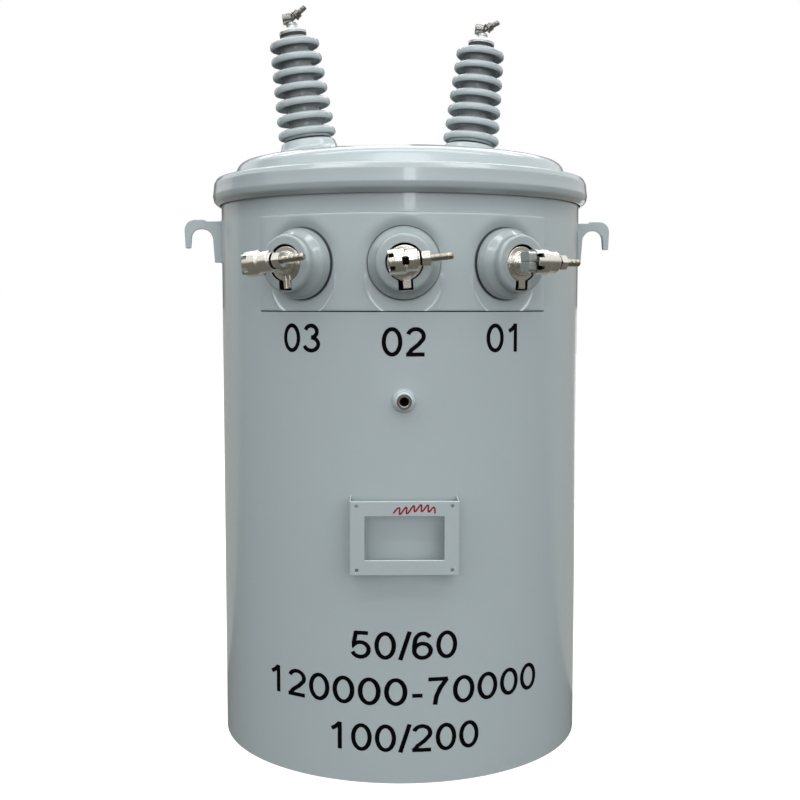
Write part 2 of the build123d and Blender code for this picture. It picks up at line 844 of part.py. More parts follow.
def make_hook(name, azimuth):
    """Flame-cut lifting hook, welded to the wall by its root."""
    seat = across_tank(azimuth, tank_radius, hook_top)
    reach, drop = hook_reach, hook_height
    finger = reach - hook_finger_width
    throat = finger - 2 * hook_throat_radius
    arch = hook_arch_drop + hook_throat_radius
    with BuildPart() as hook:
        with BuildSketch(seat):
            with BuildLine():
                Polyline(
                    (reach, hook_throat_radius),
                    (reach - 2.0, hook_finger_length),
                    (finger, hook_finger_length),
                    (finger - 1.0, arch),
                )
                ThreePointArc(
                    (finger - 1.0, arch),
                    (finger - hook_throat_radius, hook_arch_drop),
                    (throat, arch),
                )
                Polyline(
                    (throat, arch),
                    (hook_root_width, drop),
                    (-tank_wall, drop),
                    (-tank_wall, 2.5),
                    (reach * 0.4, 2.5),
                    (reach * 0.5, 0),
                    (reach - hook_throat_radius, 0),
                )
                RadiusArc(
                    (reach - hook_throat_radius, 0),
                    (reach, hook_throat_radius),
                    hook_throat_radius,
                )
            make_face()
        extrude(amount=hook_thickness / 2, both=True)
        with BuildSketch(Plane.XY.offset(hook_top - 2 * hook_height)):
            Circle(tank_radius + weld_gap)
        extrude(amount=3 * hook_height, mode=Mode.SUBTRACT)
    keep(hook, f"lifting_hook_{name}")


def make_hanger(name, level):
    """Channel-shaped hanger: two legs on the wall and a plate with an upright slot."""
    face = round_tank(180.0, tank_radius + hanger_standoff, level)
    with BuildPart() as hanger:
        with BuildSketch(face):
            Rectangle(hanger_width, hanger_height)
        extrude(amount=-hanger_standoff - hanger_width / 4)
        with BuildSketch(face.offset(-hanger_thickness)):
            Rectangle(hanger_width - 2 * hanger_thickness, 2 * hanger_height)
        extrude(amount=-2 * hanger_standoff, mode=Mode.SUBTRACT)
        with BuildSketch(face):
            SlotOverall(hanger_slot_length, 2 * hanger_slot_radius, rotation=90)
        extrude(amount=-hanger_thickness, mode=Mode.SUBTRACT)
        with BuildSketch():
            Circle(tank_radius + weld_gap)
        extrude(amount=tank_height, mode=Mode.SUBTRACT)
    keep(hanger, f"hanger_{name}")


def make_ground_boss():
    """Threaded steel boss, tapering from its weld, for the grounding connector."""
    seat = round_tank(0.0, tank_radius + weld_gap, ground_height)
    with BuildPart() as ground_boss:
        with BuildSketch(section_of(seat)):
            with BuildLine():
                Polyline(
                    (0, -tank_wall / 4),
                    (ground_weld_radius, -tank_wall / 4),
                    (ground_weld_radius - 0.5, ground_length * 0.3),
                    (ground_radius, ground_length * 0.6),
                    (ground_radius, ground_length - 1.0),
                    (ground_radius - 1.0, ground_length),
                    (0, ground_length),
                    close=True,
                )
            make_face()
        revolve(axis=spin_axis(seat))
        with BuildSketch(seat.offset(ground_length)):
            Circle(ground_thread_radius)
        extrude(amount=-ground_thread_depth, mode=Mode.SUBTRACT)
        with BuildSketch(Plane.XY.offset(ground_height - 2 * ground_weld_radius)):
            Circle(tank_radius + weld_gap)
        extrude(amount=4 * ground_weld_radius, mode=Mode.SUBTRACT)
    keep(ground_boss, "ground_boss")


def make_nameplate_bracket():
    """Bent-sheet bracket: a window frame with four holes and two side flanges."""
    face = round_tank(0.0, tank_radius + plate_standoff, plate_centre_height)
    with BuildPart() as nameplate_bracket:
        with BuildSketch(face):
            Rectangle(plate_width, plate_height)
        extrude(amount=-2 * plate_standoff)
        with BuildSketch(face.offset(-plate_sheet)):
            Rectangle(plate_width - 2 * plate_sheet, 2 * plate_height)
        extrude(amount=-2 * plate_standoff, mode=Mode.SUBTRACT)
        with BuildSketch(face):
            Rectangle(plate_window_width, plate_window_height)
            with GridLocations(plate_hole_spacing_x, plate_hole_spacing_z, 2, 2):
                Circle(plate_hole_radius)
        extrude(amount=-plate_sheet, mode=Mode.SUBTRACT)
        with BuildSketch(Plane.XY.offset(plate_centre_height - plate_height)):
            Circle(tank_radius + weld_gap)
        extrude(amount=2 * plate_height, mode=Mode.SUBTRACT)
    keep(nameplate_bracket, "nameplate_bracket")


# ---- The whole transformer ----------------------------------------------------------

make_tank_wall()
make_tank_bottom()
make_core()
make_coil()
make_lv_panel()
make_cover()
make_cover_gasket()
make_cover_band()
make_band_bolt()
for number, azimuth, turn, clamp_shift, head_shift in lv_terminals:
    make_lv_gasket(number, azimuth)
    make_lv_bushing(number, azimuth, turn)
    make_lv_stem(number, azimuth, turn)
    make_lv_clamp(number, azimuth, turn, clamp_shift)
    make_lv_eyebolt(number, azimuth, turn, head_shift)
    make_lv_nut(number, azimuth, turn, clamp_shift)
for name, side in hv_bushings:
    make_hv_gasket(name, side)
    make_hv_bushing(name, side)
    make_hv_cap_seal(name, side)
    make_hv_cap(name, side)
    make_hv_clamp(name, side)
    make_hv_bolt(name, side)
make_hook("left", hook_turn - 90.0)
make_hook("right", hook_turn + 90.0)
for name, level in hanger_levels:
    make_hanger(name, level)
make_ground_boss()
make_nameplate_bracket()
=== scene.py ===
"""Looks of a single-phase pole-mounted distribution transformer, built round its CAD frame.

+Z is up, and the front, the low-voltage side, faces -Y. A seat is a matrix whose Z axis points
out of the surface that a piece stands on. Sizes are in millimetres up to the functions that
make seats, outlines and meshes, which are in metres, as shader patterns and lamps are.
"""

import random
from math import atan2, cos, hypot, pi, radians, sin, tan

import bmesh
import bpy
import numpy as np
from bpy.props import FloatProperty, FloatVectorProperty, IntProperty, PointerProperty
from bpy.props import StringProperty
from mathutils import Matrix, Vector


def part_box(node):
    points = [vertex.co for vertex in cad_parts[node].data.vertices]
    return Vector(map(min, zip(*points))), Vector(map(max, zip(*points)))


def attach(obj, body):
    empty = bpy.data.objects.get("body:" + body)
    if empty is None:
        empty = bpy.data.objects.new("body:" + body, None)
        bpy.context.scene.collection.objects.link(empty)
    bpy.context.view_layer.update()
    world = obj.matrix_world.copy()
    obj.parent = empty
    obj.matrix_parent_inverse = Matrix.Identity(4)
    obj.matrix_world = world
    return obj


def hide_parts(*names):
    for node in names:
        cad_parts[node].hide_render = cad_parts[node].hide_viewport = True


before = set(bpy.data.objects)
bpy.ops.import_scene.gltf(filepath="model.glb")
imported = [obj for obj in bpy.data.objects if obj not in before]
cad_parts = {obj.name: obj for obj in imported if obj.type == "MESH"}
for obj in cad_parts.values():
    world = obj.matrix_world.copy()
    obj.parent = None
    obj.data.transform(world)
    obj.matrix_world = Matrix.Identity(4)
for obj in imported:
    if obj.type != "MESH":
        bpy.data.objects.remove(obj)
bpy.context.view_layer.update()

bl_info = {
    "name": "Pole transformer",
    "version": (1, 0, 0),
    "blender": (4, 5, 0),
    "location": "3D View > Sidebar > Transformer",
    "description": "Builds the finished pieces of a pole-mounted distribution transformer",
    "category": "Object",
}

mm = 0.001
rightward, forward, up = Vector((1, 0, 0)), Vector((0, -1, 0)), Vector((0, 0, 1))
lv_numbers = (1, 2, 3)
hv_names = ("left", "right")


# ---- What the frame says ------------------------------------------------------------


def corners_of(node):
    """A CAD node's corners in metres, one row each."""
    return np.array([vertex.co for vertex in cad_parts[node].data.vertices])


def box_of(node):
    """Lowest and highest corner of a CAD node's box."""
    return np.array([corner[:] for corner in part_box(node)]) / mm


def middle_of(node):
    """The centre of a CAD node's box, in metres."""
    low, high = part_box(node)
    return (low + high) / 2


def azimuth_of(node):
    """How far round the tank from the front a CAD node lies, in radians."""
    place = middle_of(node)
    return atan2(place.x, -place.y)


def seat_from(right, out, origin):
    """Matrix with X to the right, Z outwards and Y square to both."""
    seat = Matrix((right, out.cross(right), out)).transposed().to_4x4()
    seat.translation = origin
    return seat


def wall_seat(azimuth, radius, height):
    """Seat that faces outwards from the tank's axis, with Y up."""
    out = Vector((sin(azimuth), -cos(azimuth), 0))
    right = Vector((cos(azimuth), sin(azimuth), 0))
    return seat_from(right, out, out * (radius * mm) + up * (height * mm))


def wall_point(azimuth, radius, height):
    """A corner of a mesh at a place round the tank's axis."""
    radius *= mm
    return radius * sin(azimuth), -radius * cos(azimuth), height * mm


def shifted(seat, x, y, z):
    """A seat moved along its own axes."""
    return seat @ Matrix.Translation((x * mm, y * mm, z * mm))


def spun(seat, turn):
    """A seat turned about its own Z axis."""
    return seat @ Matrix.Rotation(turn, 4, "Z")


def axes_of(seat):
    """A seat's three axes."""
    return [Vector(seat.col[index][:3]) for index in range(3)]


def corners_in(node, seat):
    """A CAD node's corners in a seat's own axes, in metres."""
    turned_back = np.array(seat.inverted().to_3x3())
    return (corners_of(node) - np.array(seat.translation)) @ turned_back.T


def span_in(node, seat):
    """Lowest and highest corner of a CAD node in a seat's own axes."""
    local = corners_in(node, seat)
    return [[part / mm for part in Vector(corner)] for corner in (local.min(0), local.max(0))]


def rise_in(node, seat):
    """Lowest and highest level of a CAD node above a seat."""
    return [corner[2] for corner in span_in(node, seat)]


def lv_seat(number):
    """Seat on the panel's flat, under a low-voltage bushing's rubber ring."""
    node = f"lv_gasket_{number}"
    seat = wall_seat(azimuth_of(node), 0, middle_of(node).z / mm)
    return shifted(seat, 0, 0, rise_in(node, seat)[0])


def hv_seat(name):
    """Seat on a boss of the lid, with Z up a high-voltage bushing."""
    base, top = middle_of(f"hv_gasket_{name}"), middle_of(f"hv_cap_seal_{name}")
    out = (top - base).normalized()
    seat = seat_from((rightward - out * out.x).normalized(), out, base)
    return shifted(seat, 0, 0, rise_in(f"hv_gasket_{name}", seat)[0])


tank_foot = corners_of("tank_wall") / mm
tank_foot = tank_foot[tank_foot[:, 2] < 1]
foot_reach = np.hypot(tank_foot[:, 0], tank_foot[:, 1])
wall_radius, inside_radius = float(foot_reach.max()), float(foot_reach.min())
rim_radius, _, rim_top = box_of("tank_wall")[1]
panel_x, panel_y, _ = corners_of("lv_panel").T / mm
panel_radius = float(np.hypot(panel_x, panel_y).max())
panel_half_angle = float(np.arctan2(panel_x, -panel_y).max())
panel_low, panel_high = box_of("lv_panel")[:, 2]


# ---- Outlines and meshes ------------------------------------------------------------


def rounded(corners, steps=5):
    """Points of an outline whose corners (x, y, radius) may be rounded by arcs."""
    places = [Vector((x * mm, y * mm)) for x, y, *_ in corners]
    points = []
    for index, here in enumerate(places):
        radius = (*corners[index], 0)[2] * mm
        if radius <= 0:
            points.append(here)
            continue
        before = (places[index - 1] - here).normalized()
        after = (places[(index + 1) % len(places)] - here).normalized()
        half = before.angle(after) / 2
        centre = here + (before + after).normalized() * (radius / sin(half))
        start = here + before * (radius / tan(half)) - centre
        turn = start.angle_signed(here + after * (radius / tan(half)) - centre)
        for step in range(steps + 1):
            points.append(centre + Matrix.Rotation(-turn * step / steps, 2) @ start)
    return points


def box_outline(width, height, radius=0.0):
    """Rectangle about the middle, with rounded corners."""
    x, y = width / 2, height / 2
    return rounded([(x, -y, radius), (x, y, radius), (-x, y, radius), (-x, -y, radius)])


def circle_outline(radius, sides=48, turn=0.0):
    """Circle, or a regular polygon with its corners on one."""
    turns = [turn + 2 * pi * side / sides for side in range(sides)]
    return [(radius * mm * cos(angle), radius * mm * sin(angle)) for angle in turns]


def tidied(mesh):
    """Merges doubled corners and turns every face outwards."""
    bmesh.ops.remove_doubles(mesh, verts=mesh.verts, dist=1e-6)
    bmesh.ops.dissolve_degenerate(mesh, dist=1e-7, edges=mesh.edges)
    bmesh.ops.recalc_face_normals(mesh, faces=mesh.faces)
    return mesh


def lathe(outline, seat, segments=96, closed=True, start=0.0, sweep=2 * pi):
    """Turns an outline of (radius, height) points about a seat's Z axis."""
    whole = sweep > 2 * pi - 1e-6
    turns = [start + sweep * step / segments for step in range(segments + (not whole))]
    mesh = bmesh.new()
    rings = [
        [mesh.verts.new(seat @ Vector((r * cos(turn), r * sin(turn), z))) for r, z in outline]
        for turn in turns
    ]
    for index in range(segments):
        ring, following = rings[index], rings[(index + 1) % len(rings)]
        for point in range(len(outline) if closed else len(outline) - 1):
            after = (point + 1) % len(outline)
            mesh.faces.new((ring[point], following[point], following[after], ring[after]))
    if not whole:
        mesh.faces.new(rings[0])
        mesh.faces.new(list(reversed(rings[-1])))
    return tidied(mesh)


def turned(seat, corners, segments=96, steps=5, closed=True):
    """Solid of revolution about a seat, from corners that may be rounded."""
    return lathe(rounded(corners, steps), seat, segments, closed)


def extruded(outline, seat, low, high):
    """Solid between two heights of a seat, with an outline of (x, y) points."""
    mesh = bmesh.new()
    rings = [
        [mesh.verts.new(seat @ Vector((*point, level * mm))) for point in outline]
        for level in (low, high)
    ]
    for ring in rings:
        mesh.faces.new(ring)
    for index in range(len(outline)):
        after = (index + 1) % len(outline)
        mesh.faces.new((rings[0][index], rings[0][after], rings[1][after], rings[1][index]))
    return tidied(mesh)


def slab(seat, corners, low, high, steps=5):
    """Extruded solid, from corners that may be rounded."""
    return extruded(rounded(corners, steps), seat, low, high)


def data_of(mesh, name="work"):
    """The data block of a mesh, which may still be open for editing."""
    if not isinstance(mesh, bmesh.types.BMesh):
        return mesh
    data = bpy.data.meshes.new(name)
    mesh.to_mesh(data)
    return data


def joined(*meshes):
    """Several meshes as one."""
    whole = bmesh.new()
    for mesh in meshes:
        data = data_of(mesh)
        whole.from_mesh(data)
        bpy.data.meshes.remove(data)
    return whole


def linked(name, data):
    """A new object in the scene that holds some data."""
    thing = bpy.data.objects.new(name, data)
    bpy.context.scene.collection.objects.link(thing)
    return thing


def result_of(thing):
    """The mesh that an object's modifiers make, with the object itself removed."""
    graph = bpy.context.evaluated_depsgraph_get()
    data = bpy.data.meshes.new_from_object(thing.evaluated_get(graph))
    bpy.data.objects.remove(thing)
    return data


def modified(mesh, kind, inputs=None, **settings):
    """The mesh that one modifier makes of another, with its settings and named inputs."""
    thing = linked("work", data_of(mesh))
    modifier = thing.modifiers.new("Work", kind)
    for name, value in settings.items():
        setattr(modifier, name, value)
    if inputs:
        for item in modifier.node_group.interface.items_tree:
            if item.in_out == "INPUT" and item.name in inputs:
                modifier[item.identifier] = inputs[item.name]
    return result_of(thing)


def cut(body, *cutters):
    """A mesh with others taken out of it, one after another."""
    for cutter in cutters:
        tool = linked("work", data_of(cutter))
        settings = {"object": tool, "operation": "DIFFERENCE", "solver": "EXACT"}
        body = modified(body, "BOOLEAN", **settings)
        bpy.data.objects.remove(tool)
    return body


def softened(mesh, width, segments=2, angle=30.0):
    """A mesh whose sharp edges are rounded by a bevel."""
    limits = {"limit_method": "ANGLE", "angle_limit": radians(angle), "use_clamp_overlap": True}
    return modified(mesh, "BEVEL", width=width * mm, segments=segments, **limits)


def piece(name, mesh, finish, slot, *nodes, sharp=40.0):
    """A finished piece of the object: shaded, painted and riding on its body."""
    data = data_of(mesh, name)
    data.materials.clear()
    data.materials.append(finishes[finish])
    data.polygons.foreach_set("material_index", [0] * len(data.polygons))
    data.shade_smooth()
    data.set_sharp_from_angle(angle=radians(sharp))
    data = modified(data, "WEIGHTED_NORMAL", keep_sharp=True)
    data.name = name
    thing = linked(name, data)
    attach(thing, "root")
    if nodes:
        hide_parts(*nodes)
    return thing


def lined(thing, finish, inside, seat=Matrix()):
    """Gives a finish of their own to faces whose middles, measured from a seat, lie inside."""
    thing.data.materials.append(finishes[finish])
    back = seat.inverted()
    for face in thing.data.polygons:
        if inside(*(part / mm for part in back @ face.center)):
            face.material_index = len(thing.data.materials) - 1


def repainted(node, finish):
    """Gives a CAD node that stays in sight its finish."""
    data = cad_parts[node].data
    data.materials.clear()
    data.materials.append(finishes[finish])


# ---- Node trees ---------------------------------------------------------------------


class Wire:
    """A node's output, on which arithmetic adds Math nodes."""

    def __init__(self, nodes, socket):
        self.nodes = nodes
        self.socket = socket

    def maths(self, operation, *values):
        """A Math node on wires or numbers."""
        return self.nodes.add("ShaderNodeMath", dict(enumerate(values)), operation=operation)

    def __add__(self, other):
        return self.maths("ADD", self, other)

    def __sub__(self, other):
        return self.maths("SUBTRACT", self, other)

    def __rsub__(self, other):
        return self.maths("SUBTRACT", other, self)

    def __mul__(self, other):
        return self.maths("MULTIPLY", self, other)

    def __truediv__(self, other):
        return self.maths("DIVIDE", self, other)

    def __rtruediv__(self, other):
        return self.maths("DIVIDE", other, self)

    def __pow__(self, other):
        return self.maths("POWER", self, other)

    __radd__, __rmul__ = __add__, __mul__

    def over(self, low, high):
        """0 below low, 1 above high, and smooth between."""
        sockets = {"Value": self, "From Min": low, "From Max": high}
        return self.nodes.add("ShaderNodeMapRange", sockets, interpolation_type="SMOOTHSTEP")

    def mix(self, low, high):
        """The colour that lies this share of the way from one to another."""
        pair = [value if isinstance(value, Wire) else (*value, 1.0) for value in (low, high)]
        sockets = {0: self, 6: pair[0], 7: pair[1]}
        return self.nodes.add("ShaderNodeMix", sockets, output=2, data_type="RGBA")

    def noise(self, scale, detail=3.0, roughness=0.5):
        """Noise at a place, about 0.5 on the whole."""
        sockets = {"Vector": self, "Scale": scale, "Detail": detail, "Roughness": roughness}
        return self.nodes.add("ShaderNodeTexNoise", sockets)

    def stretched(self, *scale):
        """A place stretched by a scale on each axis."""
        return self.nodes.add("ShaderNodeMapping", {"Vector": self, "Scale": scale})

    def bump(self, distance, strength=1.0, under=None):
        """Normal of a skin whose height is this share of a distance."""
        sockets = {"Height": self, "Distance": distance, "Strength": strength}
        if under is not None:
            sockets["Normal"] = under
        return self.nodes.add("ShaderNodeBump", sockets)

    def axes(self):
        """X, Y and Z of a place."""
        apart = self.nodes.add("ShaderNodeSeparateXYZ", {0: self}).socket.node
        return [Wire(self.nodes, socket) for socket in apart.outputs]

    def axes_in(self, seat):
        """X, Y and Z of a place, measured from a seat."""
        sockets = {"Vector": self, "Location": seat.translation, "Rotation": seat.to_euler()}
        return self.nodes.add("ShaderNodeMapping", sockets, vector_type="TEXTURE").axes()


class Nodes:
    """A node tree, with one way of adding any node to it."""

    def __init__(self, tree):
        self.tree = tree

    def fill(self, node, sockets):
        """Links or sets inputs of a node."""
        for name, value in sockets.items():
            if isinstance(value, Wire):
                self.tree.links.new(value.socket, node.inputs[name])
            else:
                node.inputs[name].default_value = value

    def add(self, kind, sockets=None, output=0, **settings):
        """A new node with its settings, then its sockets, as the wire of one output."""
        node = self.tree.nodes.new(kind)
        for name, value in settings.items():
            setattr(node, name, value)
        self.fill(node, sockets or {})
        return Wire(self, node.outputs[output]) if node.outputs else None

    def entries(self, **kinds):
        """Named inputs of a Geometry Nodes tree, each with its kind of socket."""
        for name, kind in kinds.items():
            new_socket = self.tree.interface.new_socket
            new_socket(name, in_out="INPUT", socket_type=f"NodeSocket{kind}")
        entry = self.add("NodeGroupInput").socket.node
        return [Wire(self, entry.outputs[name]) for name in kinds]

    def end(self, geometry, finish):
        """Ends a Geometry Nodes tree with real geometry in one material."""
        new_socket = self.tree.interface.new_socket
        new_socket("Geometry", in_out="OUTPUT", socket_type="NodeSocketGeometry")
        real = self.add("GeometryNodeRealizeInstances", {0: geometry})
        smooth = self.add("GeometryNodeSetShadeSmooth", {"Geometry": real})
        sockets = {"Geometry": smooth, "Material": finish}
        self.add("NodeGroupOutput", {0: self.add("GeometryNodeSetMaterial", sockets)})


def thread_tree(nodes):
    """Helical ridge of a screw thread round the Z axis, from the floor upwards."""
    radius, length, pitch, finish = nodes.entries(
        Radius="Float", Length="Float", Pitch="Float", Material="Material"
    )
    sockets = {"Start Radius": radius, "End Radius": radius, "Height": length}
    sockets.update({"Resolution": 24, "Rotations": length / pitch})
    spiral = nodes.add("GeometryNodeCurveSpiral", sockets)
    sockets = {"Resolution": 4, "Radius": pitch * 0.42}
    ridge = nodes.add("GeometryNodeCurvePrimitiveCircle", sockets)
    sockets = {"Curve": spiral, "Profile Curve": ridge, "Fill Caps": True}
    nodes.end(nodes.add("GeometryNodeCurveToMesh", sockets), finish)


def weld_tree(nodes):
    """Overlapping puddles of a weld bead along a line of edges."""
    line, width, pitch, seed, finish = nodes.entries(
        Geometry="Geometry", Width="Float", Pitch="Float", Seed="Int", Material="Material"
    )
    path = nodes.add("GeometryNodeMeshToCurve", {"Mesh": line})
    sockets = {"Curve": path, "Length": pitch}
    even = nodes.add("GeometryNodeResampleCurve", sockets, mode="LENGTH")
    sockets = {"Segments": 10, "Rings": 6, "Radius": width / 2}
    puddle = nodes.add("GeometryNodeMeshUVSphere", sockets)
    along = {"Vector": nodes.add("GeometryNodeInputTangent")}
    facing = nodes.add("FunctionNodeAlignRotationToVector", along, axis="Z")
    sockets = {2: 0.9, 3: 1.06, "Seed": seed}
    size = nodes.add("FunctionNodeRandomValue", sockets, output=1, data_type="FLOAT")
    sockets = {"Points": even, "Instance": puddle, "Rotation": facing, "Scale": size}
    nodes.end(nodes.add("GeometryNodeInstanceOnPoints", sockets), finish)


def shed_tree(nodes):
    """Stack of like sheds up the Z axis, drawn in evenly towards the top."""
    shed, count, pitch, taper, finish = nodes.entries(
        Geometry="Geometry", Sheds="Int", Pitch="Float", Taper="Float", Material="Material"
    )
    step = nodes.add("ShaderNodeCombineXYZ", {"Z": pitch})
    line = nodes.add("GeometryNodeMeshLine", {"Count": count, "Offset": step})
    stack = nodes.add("GeometryNodeInstanceOnPoints", {"Points": line, "Instance": shed})
    real = nodes.add("GeometryNodeRealizeInstances", {0: stack})
    whole = nodes.add("GeometryNodeMergeByDistance", {"Geometry": real, "Distance": 0.02 * mm})
    x, y, z = nodes.add("GeometryNodeInputPosition").axes()
    narrow = 1 - z * taper
    drawn = nodes.add("ShaderNodeCombineXYZ", {"X": x * narrow, "Y": y * narrow, "Z": z})
    moved = nodes.add("GeometryNodeSetPosition", {"Geometry": whole, "Position": drawn})
    nodes.end(moved, finish)


trees = {"Screw thread": thread_tree, "Weld bead": weld_tree, "Shed stack": shed_tree}


def grown(name, finish, mesh=None, **inputs):
    """The plain mesh that one of the trees makes."""
    tree = bpy.data.node_groups.get(name)
    if not tree:
        tree = bpy.data.node_groups.new(name, "GeometryNodeTree")
        trees[name](Nodes(tree))
    inputs["Material"] = finishes[finish]
    return modified(mesh or bmesh.new(), "NODES", inputs, node_group=tree)


# ---- Finishes -----------------------------------------------------------------------


def shade(red, green, blue):
    """A colour written as it looks on a screen, 0 to 255, as Blender's linear one."""
    parts = [value / 255 for value in (red, green, blue)]
    return tuple(v / 12.92 if v <= 0.04045 else ((v + 0.055) / 1.055) ** 2.4 for v in parts)


def times(colour, share):
    """A lighter or darker colour."""
    return tuple(part * share for part in colour)


def surface(name):
    """A new material, its nodes and the place on the object that its patterns follow."""
    material = bpy.data.materials.new(name)
    material.use_nodes = True
    nodes = Nodes(material.node_tree)
    return material, nodes, nodes.add("ShaderNodeTexCoord", output=3)


def finished(material, nodes, **sockets):
    """A material whose shader has these sockets, named with underscores."""
    shader = next(n for n in nodes.tree.nodes if n.bl_idname == "ShaderNodeBsdfPrincipled")
    nodes.fill(shader, {name.replace("_", " "): value for name, value in sockets.items()})
    return material


def paint_finish(name, colour, waviness, gloss, painted_shade_band=None, painted_light_seats=()):
    """Sprayed enamel: slow waves of the sheet, orange peel and faint scuffs, with painted shade
    between two heights and round the bushings, and painted highlights on the flats' lower edges.
    """
    material, nodes, place = surface(name)
    mottle = place.noise(30.0, 4.0)
    scuffs = place.stretched(60, 60, 9).noise(3.0, 6.0, 0.7).over(0.66, 0.78)
    tone = place.noise(2.2, 2.0) * 0.7 + mottle * 0.3
    marked = tone.mix(times(colour, 0.95), times(colour, 1.05))
    marked = (scuffs * 0.18).mix(marked, shade(188, 196, 198))
    if painted_shade_band:
        start, stop, share = painted_shade_band
        z = place.axes_in(Matrix())[2]
        # Painted shade between two heights: the shadow under the clamping ring, and the ring's own
        # lower slope
        painted_shade = z.over(start, stop) * share
        painted_highlight = contact_shade = 0.0
        for seat in painted_light_seats:
            x, y, out = place.axes_in(seat)
            near = out.over(-0.06, -0.04)
            low = (x * x + (y + 0.022) ** 2) ** 0.5
            rim = low.over(0.0502, 0.0512) * (1 - low.over(0.0522, 0.0534))
            # Painted highlight along the lower edges of each pressed flat
            painted_highlight = painted_highlight + rim * (-1 * y).over(0.033, 0.049) * near
            reach = (x * x + y * y) ** 0.5
            # Painted shade over each bushing, where the flat's upper slope faces down
            painted_shade = painted_shade + (1 - reach.over(0.046, 0.072)) * y.over(0.0, 0.05) * near * 0.5
            # Painted shade in a thin ring round each bushing's flange, where it meets the panel
            contact_shade = contact_shade + (1 - reach.over(0.0500, 0.0522)) * near
        if painted_light_seats:
            painted_shade = painted_shade + contact_shade * 0.7
        # Painted shade darkens the paint towards a fifth of its colour
        marked = painted_shade.mix(marked, times(colour, 0.2))
        if painted_light_seats:
            # The painted highlight stays above the panel's groove and is mixed towards near white
            painted_highlight = painted_highlight * z.over((panel_low + 1.0) * mm, (panel_low + 1.6) * mm)
            marked = (painted_highlight * 0.75).mix(marked, shade(236, 242, 242))
    waves = place.stretched(9, 9, 2).noise(1.0, 1.0).bump(3 * mm, waviness)
    peel = place.noise(260.0, 1.0).bump(0.03 * mm, 0.4, waves)
    rough = gloss + mottle * 0.06 + scuffs * 0.1
    shine = {"Coat_Weight": 0.5, "Coat_Roughness": 0.05}
    return finished(material, nodes, Base_Color=marked, Roughness=rough, Normal=peel, **shine)


def glaze_finish(name, colour, seat):
    """Glazed porcelain with faint specks and runs, and painted shade round its core."""
    material, nodes, place = surface(name)
    tone = place.noise(18.0, 3.0)
    specks = place.noise(900.0, 1.0).over(0.70, 0.78)
    body = tone.mix(times(colour, 0.92), times(colour, 1.07))
    x, y, _ = place.axes_in(seat)
    facing = {0: nodes.add("ShaderNodeTexCoord", output=1), 1: axes_of(seat)[2]}
    risen = nodes.add("ShaderNodeVectorMath", facing, output=1, operation="DOT_PRODUCT")
    under = 1 - risen.over(-0.5, -0.02)
    reach = (x * x + y * y) ** 0.5 + (tone - 0.5) * 0.006
    # Painted shade: the glaze darkens towards the core, between the sheds
    core_shaded = reach.over(0.029, 0.041).mix(times(colour, 0.5), body)
    return finished(
        material,
        nodes,
        Base_Color=(specks * 0.5).mix(core_shaded, shade(92, 96, 98)),
        Roughness=0.17 + tone * 0.1 + under * 0.5,
        Normal=place.noise(55.0, 2.0).bump(0.35 * mm, 0.6),
        Coat_Weight=0.6 - under * 0.6,
        Coat_Roughness=0.05,
    )


def epoxy_finish(name, colour):
    """Cast epoxy: smooth, half glossy, with faint flow marks."""
    material, nodes, place = surface(name)
    flow = place.noise(24.0, 4.0, 0.6)
    fine = place.noise(1500.0, 1.0).bump(0.02 * mm, 0.5, flow.bump(0.25 * mm, 0.5))
    body = flow.mix(times(colour, 0.93), times(colour, 1.06))
    rough = 0.2 + flow * 0.1
    shine = {"Coat_Weight": 0.8, "Coat_Roughness": 0.04}
    return finished(material, nodes, Base_Color=body, Roughness=rough, Normal=fine, **shine)


def metal_finish(name, bright, dull, roughness):
    """Plated metal: machining lines, small stains and duller patches."""
    material, nodes, place = surface(name)
    patches = place.noise(40.0, 2.0).over(0.3, 0.8)
    stains = place.noise(320.0, 3.0).over(0.70, 0.84)
    body = patches.mix(shade(*bright), shade(*dull))
    return finished(
        material,
        nodes,
        Base_Color=(stains * 0.3).mix(body, times(shade(*dull), 0.4)),
        Roughness=roughness + patches * 0.1 + stains * 0.1,
        Normal=place.noise(900.0, 1.0).bump(0.004 * mm, 0.3),
        Metallic=1.0,
    )


def plain_finish(name, low, high, roughness, scale=200.0, sheen=0.5):
    """Matt stuff such as rubber, ink, wrapping or bare sheet: two close tones and a grain."""
    material, nodes, place = surface(name)
    grain = place.noise(scale, 3.0, 0.6)
    return finished(
        material,
        nodes,
        Base_Color=grain.mix(shade(*low), shade(*high)),
        Roughness=roughness + grain * 0.15,
        Normal=grain.bump(0.05 * mm, 0.6),
        Specular_IOR_Level=sheen,
    )


finishes = {}
# Bright and dull tone as on a screen, and roughness
metals = {
    "terminal": ("tinned bronze", (228, 225, 218), (212, 208, 199), 0.16),
    "forged": ("forged steel", (190, 196, 193), (158, 165, 162), 0.36),
    "stud": ("plated stud", (176, 172, 160), (146, 142, 131), 0.24),
    "weathered": ("weathered steel", (158, 157, 153), (104, 101, 98), 0.3),
    "cap": ("cap casting", (208, 213, 211), (172, 178, 177), 0.34),
    "steel": ("zinc-plated steel", (214, 216, 216), (172, 175, 176), 0.24),
}
